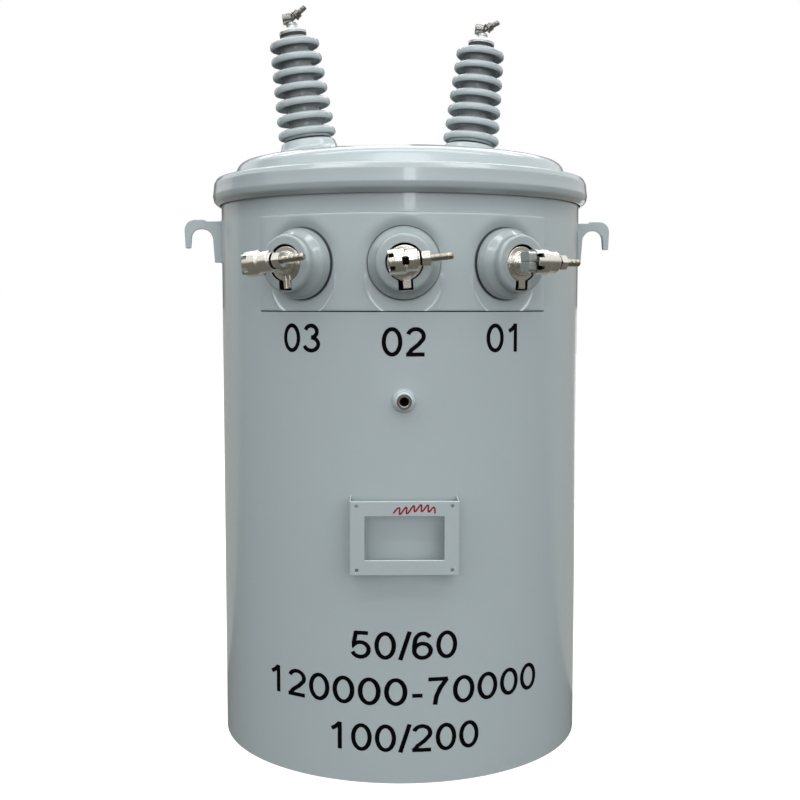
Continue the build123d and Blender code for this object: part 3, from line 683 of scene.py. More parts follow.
# Low and high tone as on a screen, roughness, the grain's scale and the sheen
plain_stuff = {
    # The bore's black is painted shade, laid in holes, gaps, recesses and grooves
    "bore": ("painted black shade", (11, 10, 9), (18, 17, 16), 0.85, 200.0, 0.12),
    "faced": ("bare turned end", (70, 64, 58), (98, 91, 84), 0.5, 500.0),
    "rubber": ("black rubber", (26, 27, 28), (40, 41, 42), 0.55),
    "ink": ("black stencil paint", (4, 4, 5), (8, 8, 9), 0.5, 90.0, 0.03),
    "marker": ("red marker", (118, 5, 16), (148, 14, 28), 0.45, 700.0, 0.2),
    "core": ("core steel", (70, 72, 76), (98, 100, 104), 0.4, 400.0),
    "wrap": ("coil wrapping", (176, 150, 108), (196, 172, 130), 0.7, 500.0),
}
# Share of the paint's colour, waves, gloss, and the painted shade's two levels in metres and its
# share
enamels = {
    # The tank's band of painted shade is the shadow under the clamping ring
    "tank": (1.0, 0.5, 0.2, (0.79, 0.826, 0.42)),
    # The lid's lighter share is painted light, and the ring's darker share is painted shade
    "lid": (1.1, 0.3, 0.18),
    "ring": (0.92, 0.3, 0.18, (0.842, 0.826, 0.36)),
    "fitting": (0.98, 0.1, 0.3),
    # The thick enamel's much lighter share is painted highlight on the bracket's edges and the
    # boss's shoulder
    "thick": (1.5, 0.1, 0.22),
}


def make_finishes():
    """Every finish of the object, by name."""
    colours = bpy.context.scene.transformer_colours
    for key, (share, *values) in enamels.items():
        painted_light_seats = [lv_seat(number) for number in lv_numbers] if key == "tank" else ()
        paint = times(colours.paint, share)
        finishes[key] = paint_finish(f"{key} enamel", paint, *values, painted_light_seats=painted_light_seats)
    for name in hv_names:
        glaze = glaze_finish(f"grey glaze {name}", tuple(colours.porcelain), hv_seat(name))
        finishes[f"porcelain_{name}"] = glaze
    finishes["epoxy"] = epoxy_finish("grey epoxy", tuple(colours.epoxy))
    finishes.update({key: metal_finish(*values) for key, values in metals.items()})
    finishes.update({key: plain_finish(*values) for key, values in plain_stuff.items()})


# ---- Properties ---------------------------------------------------------------------


class TransformerColours(bpy.types.PropertyGroup):
    """Colours that a user would change."""

    paint: FloatVectorProperty(
        name="Paint", description="Enamel of the tank, lid, ring and brackets",
        subtype="COLOR", default=shade(169, 179, 181),
    )
    porcelain: FloatVectorProperty(
        name="Porcelain", description="Glaze of the high-voltage bushings",
        subtype="COLOR", default=shade(164, 173, 175),
    )
    epoxy: FloatVectorProperty(
        name="Epoxy", description="Resin of the low-voltage bushings",
        subtype="COLOR", default=shade(153, 163, 164),
    )


class TankSizes(bpy.types.PropertyGroup):
    """Sizes of the rolled wall, its pressed panel and its welds."""

    segments: IntProperty(
        name="Segments", description="Flats round the wall", default=288, min=48
    )
    flat_radius: FloatProperty(
        name="Flat radius", description="Radius of the round flat under each bushing",
        default=52 * mm, unit="LENGTH",
    )
    flat_drop: FloatProperty(
        name="Flat drop", description="How far each flat is drawn out below its bushing",
        default=22 * mm, unit="LENGTH",
    )
    press_radius: FloatProperty(
        name="Press radius", description="Rounding of the panel's pressed edges",
        default=0.9 * mm, unit="LENGTH",
    )
    weld_width: FloatProperty(
        name="Weld width", description="Width of the structural weld beads",
        default=6 * mm, unit="LENGTH",
    )
    seam_azimuth: FloatProperty(
        name="Seam azimuth", description="Place of the wall's long weld, from the front",
        default=radians(-150), subtype="ANGLE",
    )


class MarkSizes(bpy.types.PropertyGroup):
    """Sizes of the stencilled numbers."""

    terminal_words: StringProperty(
        name="Terminal numbers", description="A number for each terminal", default="01 02 03"
    )
    small_height: FloatProperty(
        name="Terminal digit height", description="Height of the digits under the bushings",
        default=39.5 * mm, unit="LENGTH",
    )
    large_height: FloatProperty(
        name="Rating digit height", description="Height of the digits near the foot",
        default=39 * mm, unit="LENGTH",
    )


class StageSizes(bpy.types.PropertyGroup):
    """The camera's place and lens."""

    distance: FloatProperty(
        name="Distance", description="Camera's distance from the tank's axis",
        default=1.899, unit="LENGTH",
    )
    height: FloatProperty(
        name="Height", description="Camera's height above the floor",
        default=0.6744, unit="LENGTH",
    )
    azimuth: FloatProperty(
        name="Azimuth", description="Camera's place round the tank, from the front",
        default=radians(-1.1), subtype="ANGLE",
    )
    pitch: FloatProperty(
        name="Pitch", description="How far the camera looks down",
        default=radians(4.68), subtype="ANGLE",
    )
    lens: FloatProperty(name="Lens", description="Focal length in millimetres", default=53.35)


# ---- Tank ---------------------------------------------------------------------------


def shell(azimuths, heights, outer, inner, kept, wrap):
    """Closed sheet between two skins of radii, without the cells that aren't kept."""
    mesh = bmesh.new()
    skins = [
        [
            [mesh.verts.new(wall_point(turn, *place)) for place in zip(row, heights)]
            for turn, row in zip(azimuths, radii)
        ]
        for radii in (outer, inner)
    ]
    columns, rows = kept.shape

    def held(column, row):
        inside = 0 <= row < rows and (wrap or 0 <= column < columns)
        return inside and kept[column % columns, row]

    for here, row in zip(*np.nonzero(kept)):
        there, over = (here + 1) % len(azimuths), row + 1
        for skin in skins:
            mesh.faces.new((skin[here][row], skin[there][row], skin[there][over], skin[here][over]))
        sides = (
            (held(here - 1, row), (here, row), (here, over)),
            (held(here + 1, row), (there, row), (there, over)),
            (held(here, row - 1), (here, row), (there, row)),
            (held(here, over), (here, over), (there, over)),
        )
        for neighbour, (c1, r1), (c2, r2) in sides:
            if not neighbour:
                ends = (skins[0][c1][r1], skins[0][c2][r2], skins[1][c2][r2], skins[1][c1][r1])
                mesh.faces.new(ends)
    loose = [corner for corner in mesh.verts if not corner.link_faces]
    bmesh.ops.delete(mesh, geom=loose, context="VERTS")
    return tidied(mesh)


def wall_mesh(segments):
    """Rolled wall with its rim, open where the panel is welded in."""
    half = panel_half_angle
    front_count = segments // 4 + 1
    front = np.linspace(-half, half, front_count)
    back = np.linspace(half, 2 * pi - half, segments - front_count + 2)[1:-1]
    azimuths = np.concatenate([front, back])
    flange_low = box_of("cover_band")[0, 2] + 14.3
    edge = 0.6  # broken corner at the foot
    levels = [(0.0, wall_radius - edge), (edge, wall_radius)]
    levels += [(level, wall_radius) for level in np.linspace(50, panel_low - 50, 8)]
    levels += [(level, wall_radius) for level in (panel_low, panel_high, flange_low)]
    levels += [(flange_low, rim_radius), (rim_top, rim_radius)]
    heights = np.array([level for level, _ in levels])
    outer = np.tile([radius for _, radius in levels], (len(azimuths), 1))
    inner = np.full_like(outer, inside_radius)
    kept = np.ones((len(azimuths), len(heights) - 1), bool)
    kept[: front_count - 1, int(np.argmin(abs(heights - panel_low)))] = False
    return shell(azimuths, heights, outer, inner, kept, True)


def ramp(values):
    """Values held between 0 and 1."""
    return np.clip(values, 0, 1)


def soft_less(first, second, blend):
    """The smaller of two fields, with the crease between them rounded."""
    share = ramp(0.5 + 0.5 * (second - first) / blend)
    return second * (1 - share) + first * share - blend * share * (1 - share)


def panel_mesh(flat_radius, flat_drop, press):
    """Pressed panel: proud of the wall, with a recessed round flat for each bushing."""
    lip = 0.1
    half = panel_half_angle - lip * mm
    azimuths = np.linspace(-half, half, 330)
    heights = np.linspace(panel_low + lip, panel_high - lip, 110)
    across, level = np.meshgrid(azimuths, heights, indexing="ij")
    outer = np.full_like(across, panel_radius)
    for number in lv_numbers:
        x, y, z = (part / mm for part in lv_seat(number).translation)
        flat = hypot(x, y)
        turn = across - atan2(x, -y)
        rise = level - z
        above = ramp(rise / 38 + 0.35)
        above = above * above * (3 - 2 * above)
        reach = np.hypot(panel_radius * np.sin(turn), rise - np.clip(rise, -flat_drop, 0))
        rim = flat_radius * (1 - above) + 49 * above
        slope = (flat + (1.3 - 0.8 * above) * (reach - rim)) / np.cos(turn)
        soft = press * (1 + 4 * above)
        pocket = -soft_less(-flat / np.cos(turn), -slope, soft)
        outer = soft_less(outer, pocket, soft)
        bead = ramp((-rise - 13) / 9) * np.exp(-(((reach - rim - 1.0) / 2.0) ** 2))
        outer = outer + 1.2 * bead
    side = (panel_half_angle - abs(across)) * wall_radius
    proud = 1 - ramp(1 - (panel_high - level) / 3.2) ** 2
    proud *= 1 - ramp(1 - side / 16) ** 2
    groove = ramp(1 - (level - panel_low) / 2.6) ** 2
    outer = wall_radius + (outer - wall_radius) * proud
    outer = outer * (1 - groove) + (np.minimum(outer, wall_radius) - 2.0) * groove
    inner = np.minimum(outer - 2.8, inside_radius)
    kept = np.ones((len(azimuths) - 1, len(heights) - 1), bool)
    return shell(azimuths, heights, outer, inner, kept, False)


def weld(points, width, seed, closed=False):
    """Painted weld bead along corners of a mesh."""
    line = bmesh.new()
    corners = [line.verts.new(point) for point in points]
    for first, second in zip(corners, corners[1:] + corners[:1] if closed else corners[1:]):
        line.edges.new((first, second))
    sizes = {"Width": width * mm, "Pitch": width * 0.36 * mm, "Seed": seed}
    return grown("Weld bead", "fitting", line, **sizes)


def up_wall(azimuth, low, high, count):
    """A line of points up the outside of the wall."""
    return [wall_seat(azimuth, wall_radius, z).translation for z in np.linspace(low, high, count)]


class TRANSFORMER_OT_tank(bpy.types.Operator):
    """Build the rolled wall, its pressed panel and their welds"""

    bl_idname = "transformer.tank"
    bl_label = "Tank"

    def execute(self, context):
        sizes = context.scene.transformer_tank
        width = sizes.weld_width / mm
        piece("tank_rolled_wall", wall_mesh(sizes.segments), "tank", "tank_paint", "tank_wall")
        pressed = (sizes.flat_radius / mm, sizes.flat_drop / mm, sizes.press_radius / mm)
        mesh = panel_mesh(*pressed)
        panel = piece("bushing_panel", mesh, "tank", "tank_paint", "lv_panel", sharp=60)
        # The panel's lowest row is painted black: painted shade in the groove under its edge
        lined(panel, "bore", lambda x, y, z: z < panel_low + 0.9)
        seam = up_wall(sizes.seam_azimuth, 4, rim_top - 30, 60)
        piece("long_seam", weld(seam, width, 1), "tank", "tank_paint")
        floor = box_of("tank_bottom")[0, 2]
        turns = [2 * pi * step / 180 for step in range(180)]
        ring = [wall_seat(turn, inside_radius, floor).translation for turn in turns]
        piece("bottom_weld", weld(ring, width, 2, True), "tank", "tank_paint")
        half = panel_half_angle - radians(1)
        turns = np.linspace(-half, half, 220)
        top = [wall_seat(turn, wall_radius, panel_high).translation for turn in turns]
        piece("panel_weld", weld(top, 1.6, 3), "tank", "tank_paint")
        repainted("tank_bottom", "tank")
        return {"FINISHED"}


# ---- Lid and clamping ring ----------------------------------------------------------


class TRANSFORMER_OT_lid(bpy.types.Operator):
    """Build the pressed lid, its two bosses and its seal"""

    bl_idname = "transformer.lid"
    bl_label = "Lid"

    def execute(self, context):
        seal_low, brim_low = box_of("cover_gasket")[:, 2]
        sheet, dome_radius, dome_top = 3.2, 1372.0, 912.6
        brim_high = brim_low + sheet
        dome = [
            (radius, dome_top - dome_radius + (dome_radius**2 - radius**2) ** 0.5)
            for radius in np.linspace(236, 0, 28)
        ]
        top = [(rim_radius, brim_low), (rim_radius, brim_high, 1), (264, brim_high, 6)]
        skin = rounded([*top, (252.6, 888, 17), dome[0]], 8)[:-1] + rounded(dome)
        inset, drop = sheet * 0.7 * mm, sheet * mm
        under = [Vector((max(x - inset, 0), z - drop)) for x, z in reversed(skin[14:])]
        lid = lathe(skin + under + rounded([(260.8, brim_low)]), Matrix(), 288)
        piece("lid_pressing", lid, "lid", "tank_paint", "cover", sharp=50)
        boss = [(24.6, -9), (24.6, 0, 0.8), (42, 0, 5), (46.5, -16, 11), (66, -25.5), (64, -29)]
        for name in hv_names:
            raised = turned(hv_seat(name), boss, 128, 8)
            piece(f"lid_boss_{name}", raised, "lid", "tank_paint", sharp=50)
        edge = rim_radius - 1
        seal = [(inside_radius, seal_low), (edge, seal_low, 0.8), (edge, brim_low, 0.8)]
        ring = turned(Matrix(), [*seal, (inside_radius, brim_low)], 192)
        piece("lid_seal", ring, "rubber", "rubber", "cover_gasket")
        return {"FINISHED"}


class TRANSFORMER_OT_ring(bpy.types.Operator):
    """Build the split clamping ring, its lugs and its bolt"""

    bl_idname = "transformer.ring"
    bl_label = "Clamping ring"

    def execute(self, context):
        (out, _, low), (_, _, high) = box_of("cover_band")
        out = -out
        section = [
            (wall_radius + 3.4, low + 6, 0.4), (wall_radius + 2.6, low, 0.5),
            (wall_radius + 4.6, low + 0.2, 0.8), (out - 2, low + 6.4, 7), (out - 0.4, low + 15, 8),
            (out - 1.6, low + 24, 6), (out - 2.4, high - 9, 7), (out - 6.5, high - 1.6, 4),
            (out - 12.5, high + 0.1, 0.6), (out - 13, high - 2.6, 0.6), (out - 5.2, high - 7, 3),
            (out - 5, low + 15.5, 2),
        ]
        bolt = middle_of("band_bolt")
        seat = wall_seat(azimuth_of("band_bolt"), 0, bolt.z / mm)
        along, _, outward = axes_of(seat)
        gap = 9.0
        half = gap / rim_radius
        start = atan2(outward.y, outward.x) + half
        ring = lathe(rounded(section), Matrix(), 288, True, start, 2 * pi - 2 * half)
        root, tip = rim_radius + 1, rise_in("band_bolt", seat)[1] + 8
        plate = [(root, -13, 1), (tip, -13, 5), (tip, 13, 5), (root, 13, 1)]
        lugs = []
        for side in (-1, 1):
            middle = seat.translation + along * (side * (gap + 3) * mm)
            lug = slab(seat_from(outward, along, middle), plate, -3, 3)
            lugs.append(softened(lug, 0.8))
        whole = joined(ring, *lugs)
        piece("clamping_ring", whole, "ring", "tank_paint", "cover_band", sharp=50)
        place = seat_from(up, along, bolt)
        low, high = rise_in("band_bolt", place)
        parts = (
            rod(place, low, high + 7, 5.6),
            hexagon(place, low, low + 8, 9),
            hexagon(place, high - 10, high, 9),
            threads(place, 0, high + 6, 5.6, 1.75),
            washer(place, low + 8, 2, 6, 11),
        )
        piece("ring_bolt", joined(*parts), "steel", "bolt_steel", "band_bolt", sharp=30)
        return {"FINISHED"}


# ---- Small fastener parts -----------------------------------------------------------


def rod(seat, low, high, radius, segments=48):
    """Round bar between two heights of a seat, bevelled at both ends."""
    bevel = 0.8
    half = [(0, low), (radius - bevel, low), (radius, low + bevel)]
    rest = [(radius, high - bevel), (radius - bevel, high), (0, high)]
    return turned(seat, half + rest, segments, closed=False)


def hexagon(seat, low, high, half_width, hole=0.0):
    """Hexagon nut or head, with its corners turned off at both ends."""
    corner = half_width / cos(pi / 6)
    reach, inner = corner * 1.4, half_width * 0.96
    drop = (corner - half_width) * 0.9 * 0.6 + (reach - corner) * 0.58
    tools = []
    for end, step in ((low, 1), (high, -1)):
        off = end - step * 0.3
        outline = [(inner, off), (reach, off), (reach, end + step * drop), (inner, end)]
        tools.append(turned(seat, outline, 48))
    if hole:
        bore = [(0, low - 1), (hole, low - 1), (hole, high + 1), (0, high + 1)]
        tools.append(turned(seat, bore, 32, closed=False))
    return cut(extruded(circle_outline(corner, 6, pi / 6), seat, low, high), *tools)


def washer(seat, low, thickness, inner, outer):
    """Flat washer with soft edges."""
    soft, top = min(0.5, thickness * 0.3), low + thickness
    return turned(seat, [(inner, low), (outer, low, soft), (outer, top, soft), (inner, top)], 64, 3)


def spring_washer(seat, low, thickness, inner, outer):
    """Split spring washer, sprung a little open at its cut."""
    outline = [(inner, low), (outer, low), (outer, low + thickness), (inner, low + thickness)]
    return lathe(rounded(outline), seat, 60, True, radians(60), radians(348))


def threads(seat, low, high, radius, pitch):
    """Thread ridge round a rod, from one height of a seat to another."""
    sizes = {"Radius": radius - pitch * 0.1, "Length": high - low, "Pitch": pitch}
    data = grown("Screw thread", "steel", **{name: size * mm for name, size in sizes.items()})
    data.transform(shifted(seat, 0, 0, low))
    return data


# ---- Low-voltage side ---------------------------------------------------------------

crown_depth = 27  # from the crown's mouth to its bore's floor


def lv_turn(number):
    """How far a terminal's clamp is turned about its stem: its eyebolt's slope."""
    nut, bolt = (corners_in(f"lv_{kind}_{number}", lv_seat(number)) for kind in ("nut", "eyebolt"))
    tip = bolt[bolt[:, 0] > bolt[:, 0].max() - 0.6 * mm].mean(0)
    return atan2(tip[1], tip[0]) if abs(nut.mean(0)[0]) > 0.1 * mm else 0.0


def clamp_seat(number):
    """Seat on the stem's axis at the eyebolt: Z along the eyebolt, X up, Y outwards."""
    seat, turn = lv_seat(number), lv_turn(number)
    right, rise, out = axes_of(seat)
    along = right * cos(turn) + rise * sin(turn)
    upward = rise * cos(turn) - right * sin(turn)
    depth = sum(rise_in(f"lv_eyebolt_{number}", seat)) / 2
    return seat_from(upward, along, seat.translation + out * (depth * mm))


def lv_body(number):
    """Epoxy body with its recess and key notch."""
    seat = lv_seat(number)
    length, back = (rise_in(f"lv_{kind}_{number}", seat)[1] for kind in ("bushing", "gasket"))
    floor = length - 14.5
    corners = [
        (8.6, floor), (8.6, -20), (26, -20, 2), (26, back), (49.3, back, 1.2),
        (49.3, length * 0.24, 6), (46.8, length * 0.42, 7), (38.6, length * 0.63, 7),
        (37.4, length * 0.745, 1.2), (39.6, length * 0.775, 1.2), (39.4, length, 4.6),
        (25.7, length, 0.9), (25.7, floor, 0.6),
    ]
    notch = [(-10, 4), (-10, -37.3, 1.4), (10, -37.3, 1.4), (10, 4)]
    place = spun(seat, lv_turn(number) - radians(3.5))
    tool = slab(place, notch, floor + 0.01, length + 2)
    return softened(cut(turned(seat, corners, 160, 6), tool), 0.5, 2, 50)


def stem_mesh(number):
    """Hub in the bushing's recess, key tab, spacer step and the clamp's post."""
    seat = lv_seat(number)
    length = rise_in(f"lv_bushing_{number}", seat)[1]
    face, floor = length - 2.5, length - 14.2
    post = rise_in(f"lv_stem_{number}", seat)[1] - 12.5
    hub = [
        (0, floor), (24.2, floor, 0.5), (24.2, face, 1.4), (17.2, face, 0.8),
        (16.5, face + 5, 1.2), (9.2, face + 5, 0.6), (7.6, face + 9, 1.5),
        (7.5, post - 1, 0.5), (6.5, post), (0, post),
    ]
    tab_seat = spun(seat, lv_turn(number))
    tab = [(-5.75, 0), (-5.75, -35, 1.6), (5.75, -35, 1.6), (5.75, 0)]
    plate = softened(slab(tab_seat, tab, face - 3.6, face + 1.2), 0.9, 3)
    groove = [(-1.1, -17), (1.1, -17), (1.1, -36), (-1.1, -36)]
    tool = slab(tab_seat, groove, face + 0.6, face + 3)
    return joined(turned(shifted(seat, 0, -0.9, 0), hub, 96, 5, False), cut(plate, tool))


def crown_mesh(number):
    """Pressure sleeve: crown with square teeth, barrel, step, window and bore."""
    seat = clamp_seat(number)
    start, end = rise_in(f"lv_clamp_{number}", seat)
    step, floor = end - 16, start + crown_depth
    corners = [
        (5.4, floor), (13.4, floor), (13.4, start, 0.5), (17, start, 0.8), (17.4, start + 9, 4),
        (17.4, step - 2, 1.4), (14.8, step, 0.6), (14.8, end - 1.4, 1.2), (11.5, end, 0.4),
        (5.4, end),
    ]
    teeth = []
    for tooth in range(6):
        lying = shifted(spun(seat, radians(60 * tooth)), 15.5, 0, 0)
        teeth.append(extruded(box_outline(9, 6.4), lying, start - 2, start + 8))
    upward, outward, _ = axes_of(seat)
    middle = seat.translation
    bore = extruded(circle_outline(8.1), seat_from(upward, -outward, middle), -7, 40)
    tools = [joined(*teeth), bore]
    if number == 2:
        oval = [(x, y, 4.4) for x, y in ((7.5, 4.5), (-7.5, 4.5), (-7.5, -4.5), (7.5, -4.5))]
        tools.append(slab(seat_from(upward, outward, middle), oval, 6, 24, 8))
    return softened(cut(turned(seat, corners, 112), *tools), 0.45, 2, 50)


def eyebolt_mesh(number):
    """Eyebolt: grooved block head and a long threaded stud with a bevelled end."""
    seat = clamp_seat(number)
    head, end = rise_in(f"lv_eyebolt_{number}", seat)
    low_nut, high_nut = rise_in(f"lv_nut_{number}", seat)
    block = extruded(box_outline(27.2, 19, 4), seat, head, head + 12.5)
    groove = extruded(box_outline(1.6, 24), seat, head - 1, head + 1.4)
    notch = extruded(box_outline(1.6, 2.4), shifted(seat, 0, 9.5, head + 6), -8, 8)
    levels = (head + 2, head + 21, low_nut, end - 1.4)
    shank = [(0, head + 2), *((4.8, level) for level in levels), (3.6, end), (0, end)]
    return joined(
        softened(cut(block, groove, notch), 0.7, 2, 50),
        turned(seat, shank, 64, closed=False),
        threads(seat, high_nut - 2, end - 1.5, 4.75, 1.2),
    )


def nut_mesh(number):
    """Flat washer, spring washer and hexagon nut."""
    seat = clamp_seat(number)
    low, high = rise_in(f"lv_nut_{number}", seat)
    return joined(
        washer(seat, low + 0.5, 1.7, 5.3, 11.4),
        spring_washer(seat, low + 2.3, 2.2, 5.3, 8.2),
        hexagon(seat, low + 4.6, high, 9.5, 4.9),
    )


def line_crown(thing, number, seat):
    """Paints the clamp's bore black: painted shade."""
    floor = rise_in(f"lv_clamp_{number}", seat)[0] + crown_depth + 0.2
    lined(thing, "bore", lambda x, y, z: hypot(x, y) < 13.9 and z < floor, seat)


def line_eyebolt(thing, number, seat):
    """Paints the shank inside the clamp black as painted shade, and leaves the stud beyond it
    bright.
    """
    head, nut = (rise_in(f"lv_{kind}_{number}", seat)[0] for kind in ("eyebolt", "nut"))
    dark = head + (0.8 if number == 2 else 21)
    lined(thing, "stud", lambda x, y, z: z > head + 12.8, seat)
    lined(thing, "bore", lambda x, y, z: dark < z < nut, seat)


def line_nut(thing, number, seat):
    """Paints the gaps round the washers, under the nut, black: painted shade."""
    low = rise_in(f"lv_nut_{number}", seat)[0]
    lined(thing, "bore", lambda x, y, z: z < low + (4.5 if hypot(x, y) < 9 else 0.4), seat)


class TRANSFORMER_OT_lv_bushings(bpy.types.Operator):
    """Build the low-voltage bushings and their rubber rings"""

    bl_idname = "transformer.lv_bushings"
    bl_label = "Low-voltage bushings"

    def execute(self, context):
        for number in lv_numbers:
            node, name = f"lv_bushing_{number}", f"epoxy_bushing_{number}"
            thing = piece(name, lv_body(number), "epoxy", "epoxy", node, sharp=50)
            seat = lv_seat(number)
            top = rise_in(node, seat)[1] - 3.5
            # The recess and key notch are painted black: painted shade
            lined(thing, "bore", lambda x, y, z: hypot(x, y) < 37.2 and 0 < z < top, seat)
            node, name = f"lv_gasket_{number}", f"bushing_seal_{number}"
            ring = washer(seat, 0, rise_in(node, seat)[1], 26.6, 49.9)
            piece(name, ring, "rubber", "rubber", node)
        return {"FINISHED"}


class TRANSFORMER_OT_lv_terminals(bpy.types.Operator):
    """Build the low-voltage stems, eyebolt clamps, nuts and washers"""

    bl_idname = "transformer.lv_terminals"
    bl_label = "Low-voltage terminals"

    def execute(self, context):
        makers = (
            ("stem_hub", stem_mesh, "lv_stem", "terminal", "terminal_metal", None),
            ("crown_clamp", crown_mesh, "lv_clamp", "terminal", "terminal_metal", line_crown),
            ("eyebolt", eyebolt_mesh, "lv_eyebolt", "forged", "terminal_metal", line_eyebolt),
            ("clamp_nut", nut_mesh, "lv_nut", "terminal", "bolt_steel", line_nut),
        )
        for number in lv_numbers:
            for name, maker, node, finish, slot, liner in makers:
                mesh, node = maker(number), f"{node}_{number}"
                thing = piece(f"{name}_{number}", mesh, finish, slot, node, sharp=32)
                if liner:
                    liner(thing, number, clamp_seat(number))
        return {"FINISHED"}


# ---- High-voltage side --------------------------------------------------------------

cap_lift = 2.6  # how much thicker a cap's seal is than in the frame


def porcelain_mesh(name):
    """Porcelain body: foot, tapering stack of drooping sheds, and neck."""
    seat = hv_seat(name)
    base = rise_in(f"hv_gasket_{name}", seat)[1]
    top = rise_in(f"hv_cap_seal_{name}", seat)[0]
    first, pitch, count, core, reach, top_reach = 12.5, 23.5, 7, 28, 45.6, 39.2
    shed = [
        (core - 4, -10.5), (core - 1.2, -10, 1), (core - 0.5, -1, 6), (reach - 7, -3.4, 3),
        (reach - 3.6, -7.2, 2.6), (reach + 0.4, -3.4, 4), (reach, 4.2, 5.5), (reach - 9, 7, 7),
        (core - 1, 9.6, 3), (core - 5, 9.8),
    ]
    shed = turned(Matrix(), shed, 128, 6, False)
    taper = (1 - top_reach / reach) / (pitch * mm * (count - 1))
    sizes = {"Sheds": count, "Pitch": pitch * mm, "Taper": taper}
    stack = joined(grown("Shed stack", f"porcelain_{name}", shed, **sizes))
    bmesh.ops.recalc_face_normals(stack, faces=stack.faces)
    stack.transform(shifted(seat, 0, 0, first))
    foot = [
        (5.3, -8), (24, -8), (24, base), (37, base, 2), (37, first - 3, 3), (31, first + 1.5, 3),
        (27, first + 1.5), (23, first + pitch * 6), (22.5, top, 2), (5.3, top),
    ]
    return joined(turned(seat, foot, 128, 6), stack)


def hv_clamp_seat(name):
    """Seat at the clamp on a high-voltage cap: Z to the right, X along the bushing."""
    seat = hv_seat(name)
    right, _, out = axes_of(seat)
    height = (middle_of(f"hv_clamp_{name}") - seat.translation).dot(out)
    return seat_from(out, right, seat.translation + out * height)


def cap_mesh(name):
    """Cap flange with its stepped post."""
    seat = hv_seat(name)
    low = rise_in(f"hv_cap_seal_{name}", seat)[1] + cap_lift
    post = (hv_clamp_seat(name).translation - seat.translation).dot(axes_of(seat)[2]) / mm
    corners = [
        (0, low), (21.5, low, 0.6), (21.5, low + 4.6, 1.8), (18.8, low + 8.2, 1.6),
        (12, low + 9, 1.5), (8.6, low + 12.5, 2), (9.2, post - 9.5, 0.8), (7.4, post - 7, 0.5),
        (0, post - 6),
    ]
    return turned(seat, corners, 80, 5, False)


def clamp_block_mesh(name):
    """Clamp block across the post, with its sloping nose."""
    seat = hv_clamp_seat(name)
    low, high = rise_in(f"hv_clamp_{name}", seat)
    start = [(0, low), (8.4, low, 0.8), (9, low + 1.2, 0.8)]
    return turned(seat, [*start, (9, high - 3, 1), (6.4, high, 0.8), (0, high)], 64, 4, False)


def clamp_bolt_mesh(name):
    """Slanting threaded bolt with its washers and nut."""
    seat, lift = hv_clamp_seat(name), radians(35)
    out, _, along = axes_of(seat)
    start = seat.translation + along * (rise_in(f"hv_clamp_{name}", seat)[1] * mm)
    slanting, across = along * cos(lift) + out * sin(lift), out * cos(lift) - along * sin(lift)
    lying = seat_from(across, slanting, start)
    return joined(
        rod(lying, -5, 27, 4, 40),
        threads(lying, 13, 26.2, 4.1, 1.25),
        washer(lying, 4.6, 1.6, 4, 8.4),
        spring_washer(lying, 6.3, 2, 4.2, 7.2),
        hexagon(lying, 8.4, 13.6, 6.5),
    )


class TRANSFORMER_OT_hv_bushings(bpy.types.Operator):
    """Build the high-voltage porcelain bushings and their seals"""

    bl_idname = "transformer.hv_bushings"
    bl_label = "High-voltage bushings"

    def execute(self, context):
        for name in hv_names:
            seat, finish = hv_seat(name), f"porcelain_{name}"
            node = f"hv_bushing_{name}"
            piece(finish, porcelain_mesh(name), finish, "porcelain", node, sharp=50)
            node = f"hv_gasket_{name}"
            ring = washer(seat, 0, rise_in(node, seat)[1], 24.6, 36.6)
            piece(f"porcelain_seal_{name}", ring, "rubber", "rubber", node)
            node = f"hv_cap_seal_{name}"
            low, high = rise_in(node, seat)
            ring = washer(seat, low, high - low + cap_lift, 5.3, 21.2)
            piece(f"cap_seal_{name}", ring, "rubber", "rubber", node)
        return {"FINISHED"}


class TRANSFORMER_OT_hv_terminals(bpy.types.Operator):
    """Build the high-voltage caps, clamps and bolts"""

    bl_idname = "transformer.hv_terminals"
    bl_label = "High-voltage terminals"

    def execute(self, context):
        makers = (
            ("cap", cap_mesh, "hv_cap", "cap", "terminal_metal"),
            ("clamp_block", clamp_block_mesh, "hv_clamp", "weathered", "terminal_metal"),
            ("clamp_bolt", clamp_bolt_mesh, "hv_bolt", "weathered", "bolt_steel"),
        )
        for side in hv_names:
            for name, maker, node, finish, slot in makers:
                piece(f"{name}_{side}", maker(side), finish, slot, f"{node}_{side}", sharp=32)
        return {"FINISHED"}


# ---- Hooks, hangers, boss and bracket -----------------------------------------------


def hook_mesh(name):
    """Flame-cut hook plate with softened edges, and the welds at its root."""
    node = f"lifting_hook_{name}"
    wall = wall_seat(azimuth_of(node), wall_radius, box_of(node)[1, 2])
    right, _, out = axes_of(wall)
    seat = seat_from(out, -right, wall.translation)
    (_, foot, back), (reach, _, front) = span_in(node, seat)
    drop, thick = -foot, (front - back) / 2
    corners = [
        (-1.5, -2.5), (reach * 0.40, -2.5, 3), (reach * 0.48, 0, 3), (reach, 0, 16),
        (reach - 2, -44.5, 1.2), (reach - 10.3, -44.5, 1.2), (reach - 12.5, -14.5, 15),
        (reach - 43.5, -14.5, 17), (11.5, -drop, 1.2), (-1.5, -drop),
    ]
    parts = [softened(slab(seat, corners, -thick, thick, 10), 1.1, 3)]
    for side in (-1, 1):
        levels, face = np.linspace(3.5, drop - 1, 20), (thick + 0.6) * side
        line = [seat @ Vector((0.8 * mm, -level * mm, face * mm)) for level in levels]
        parts.append(weld(line, 4.6, 10 + side))
    return joined(*parts)


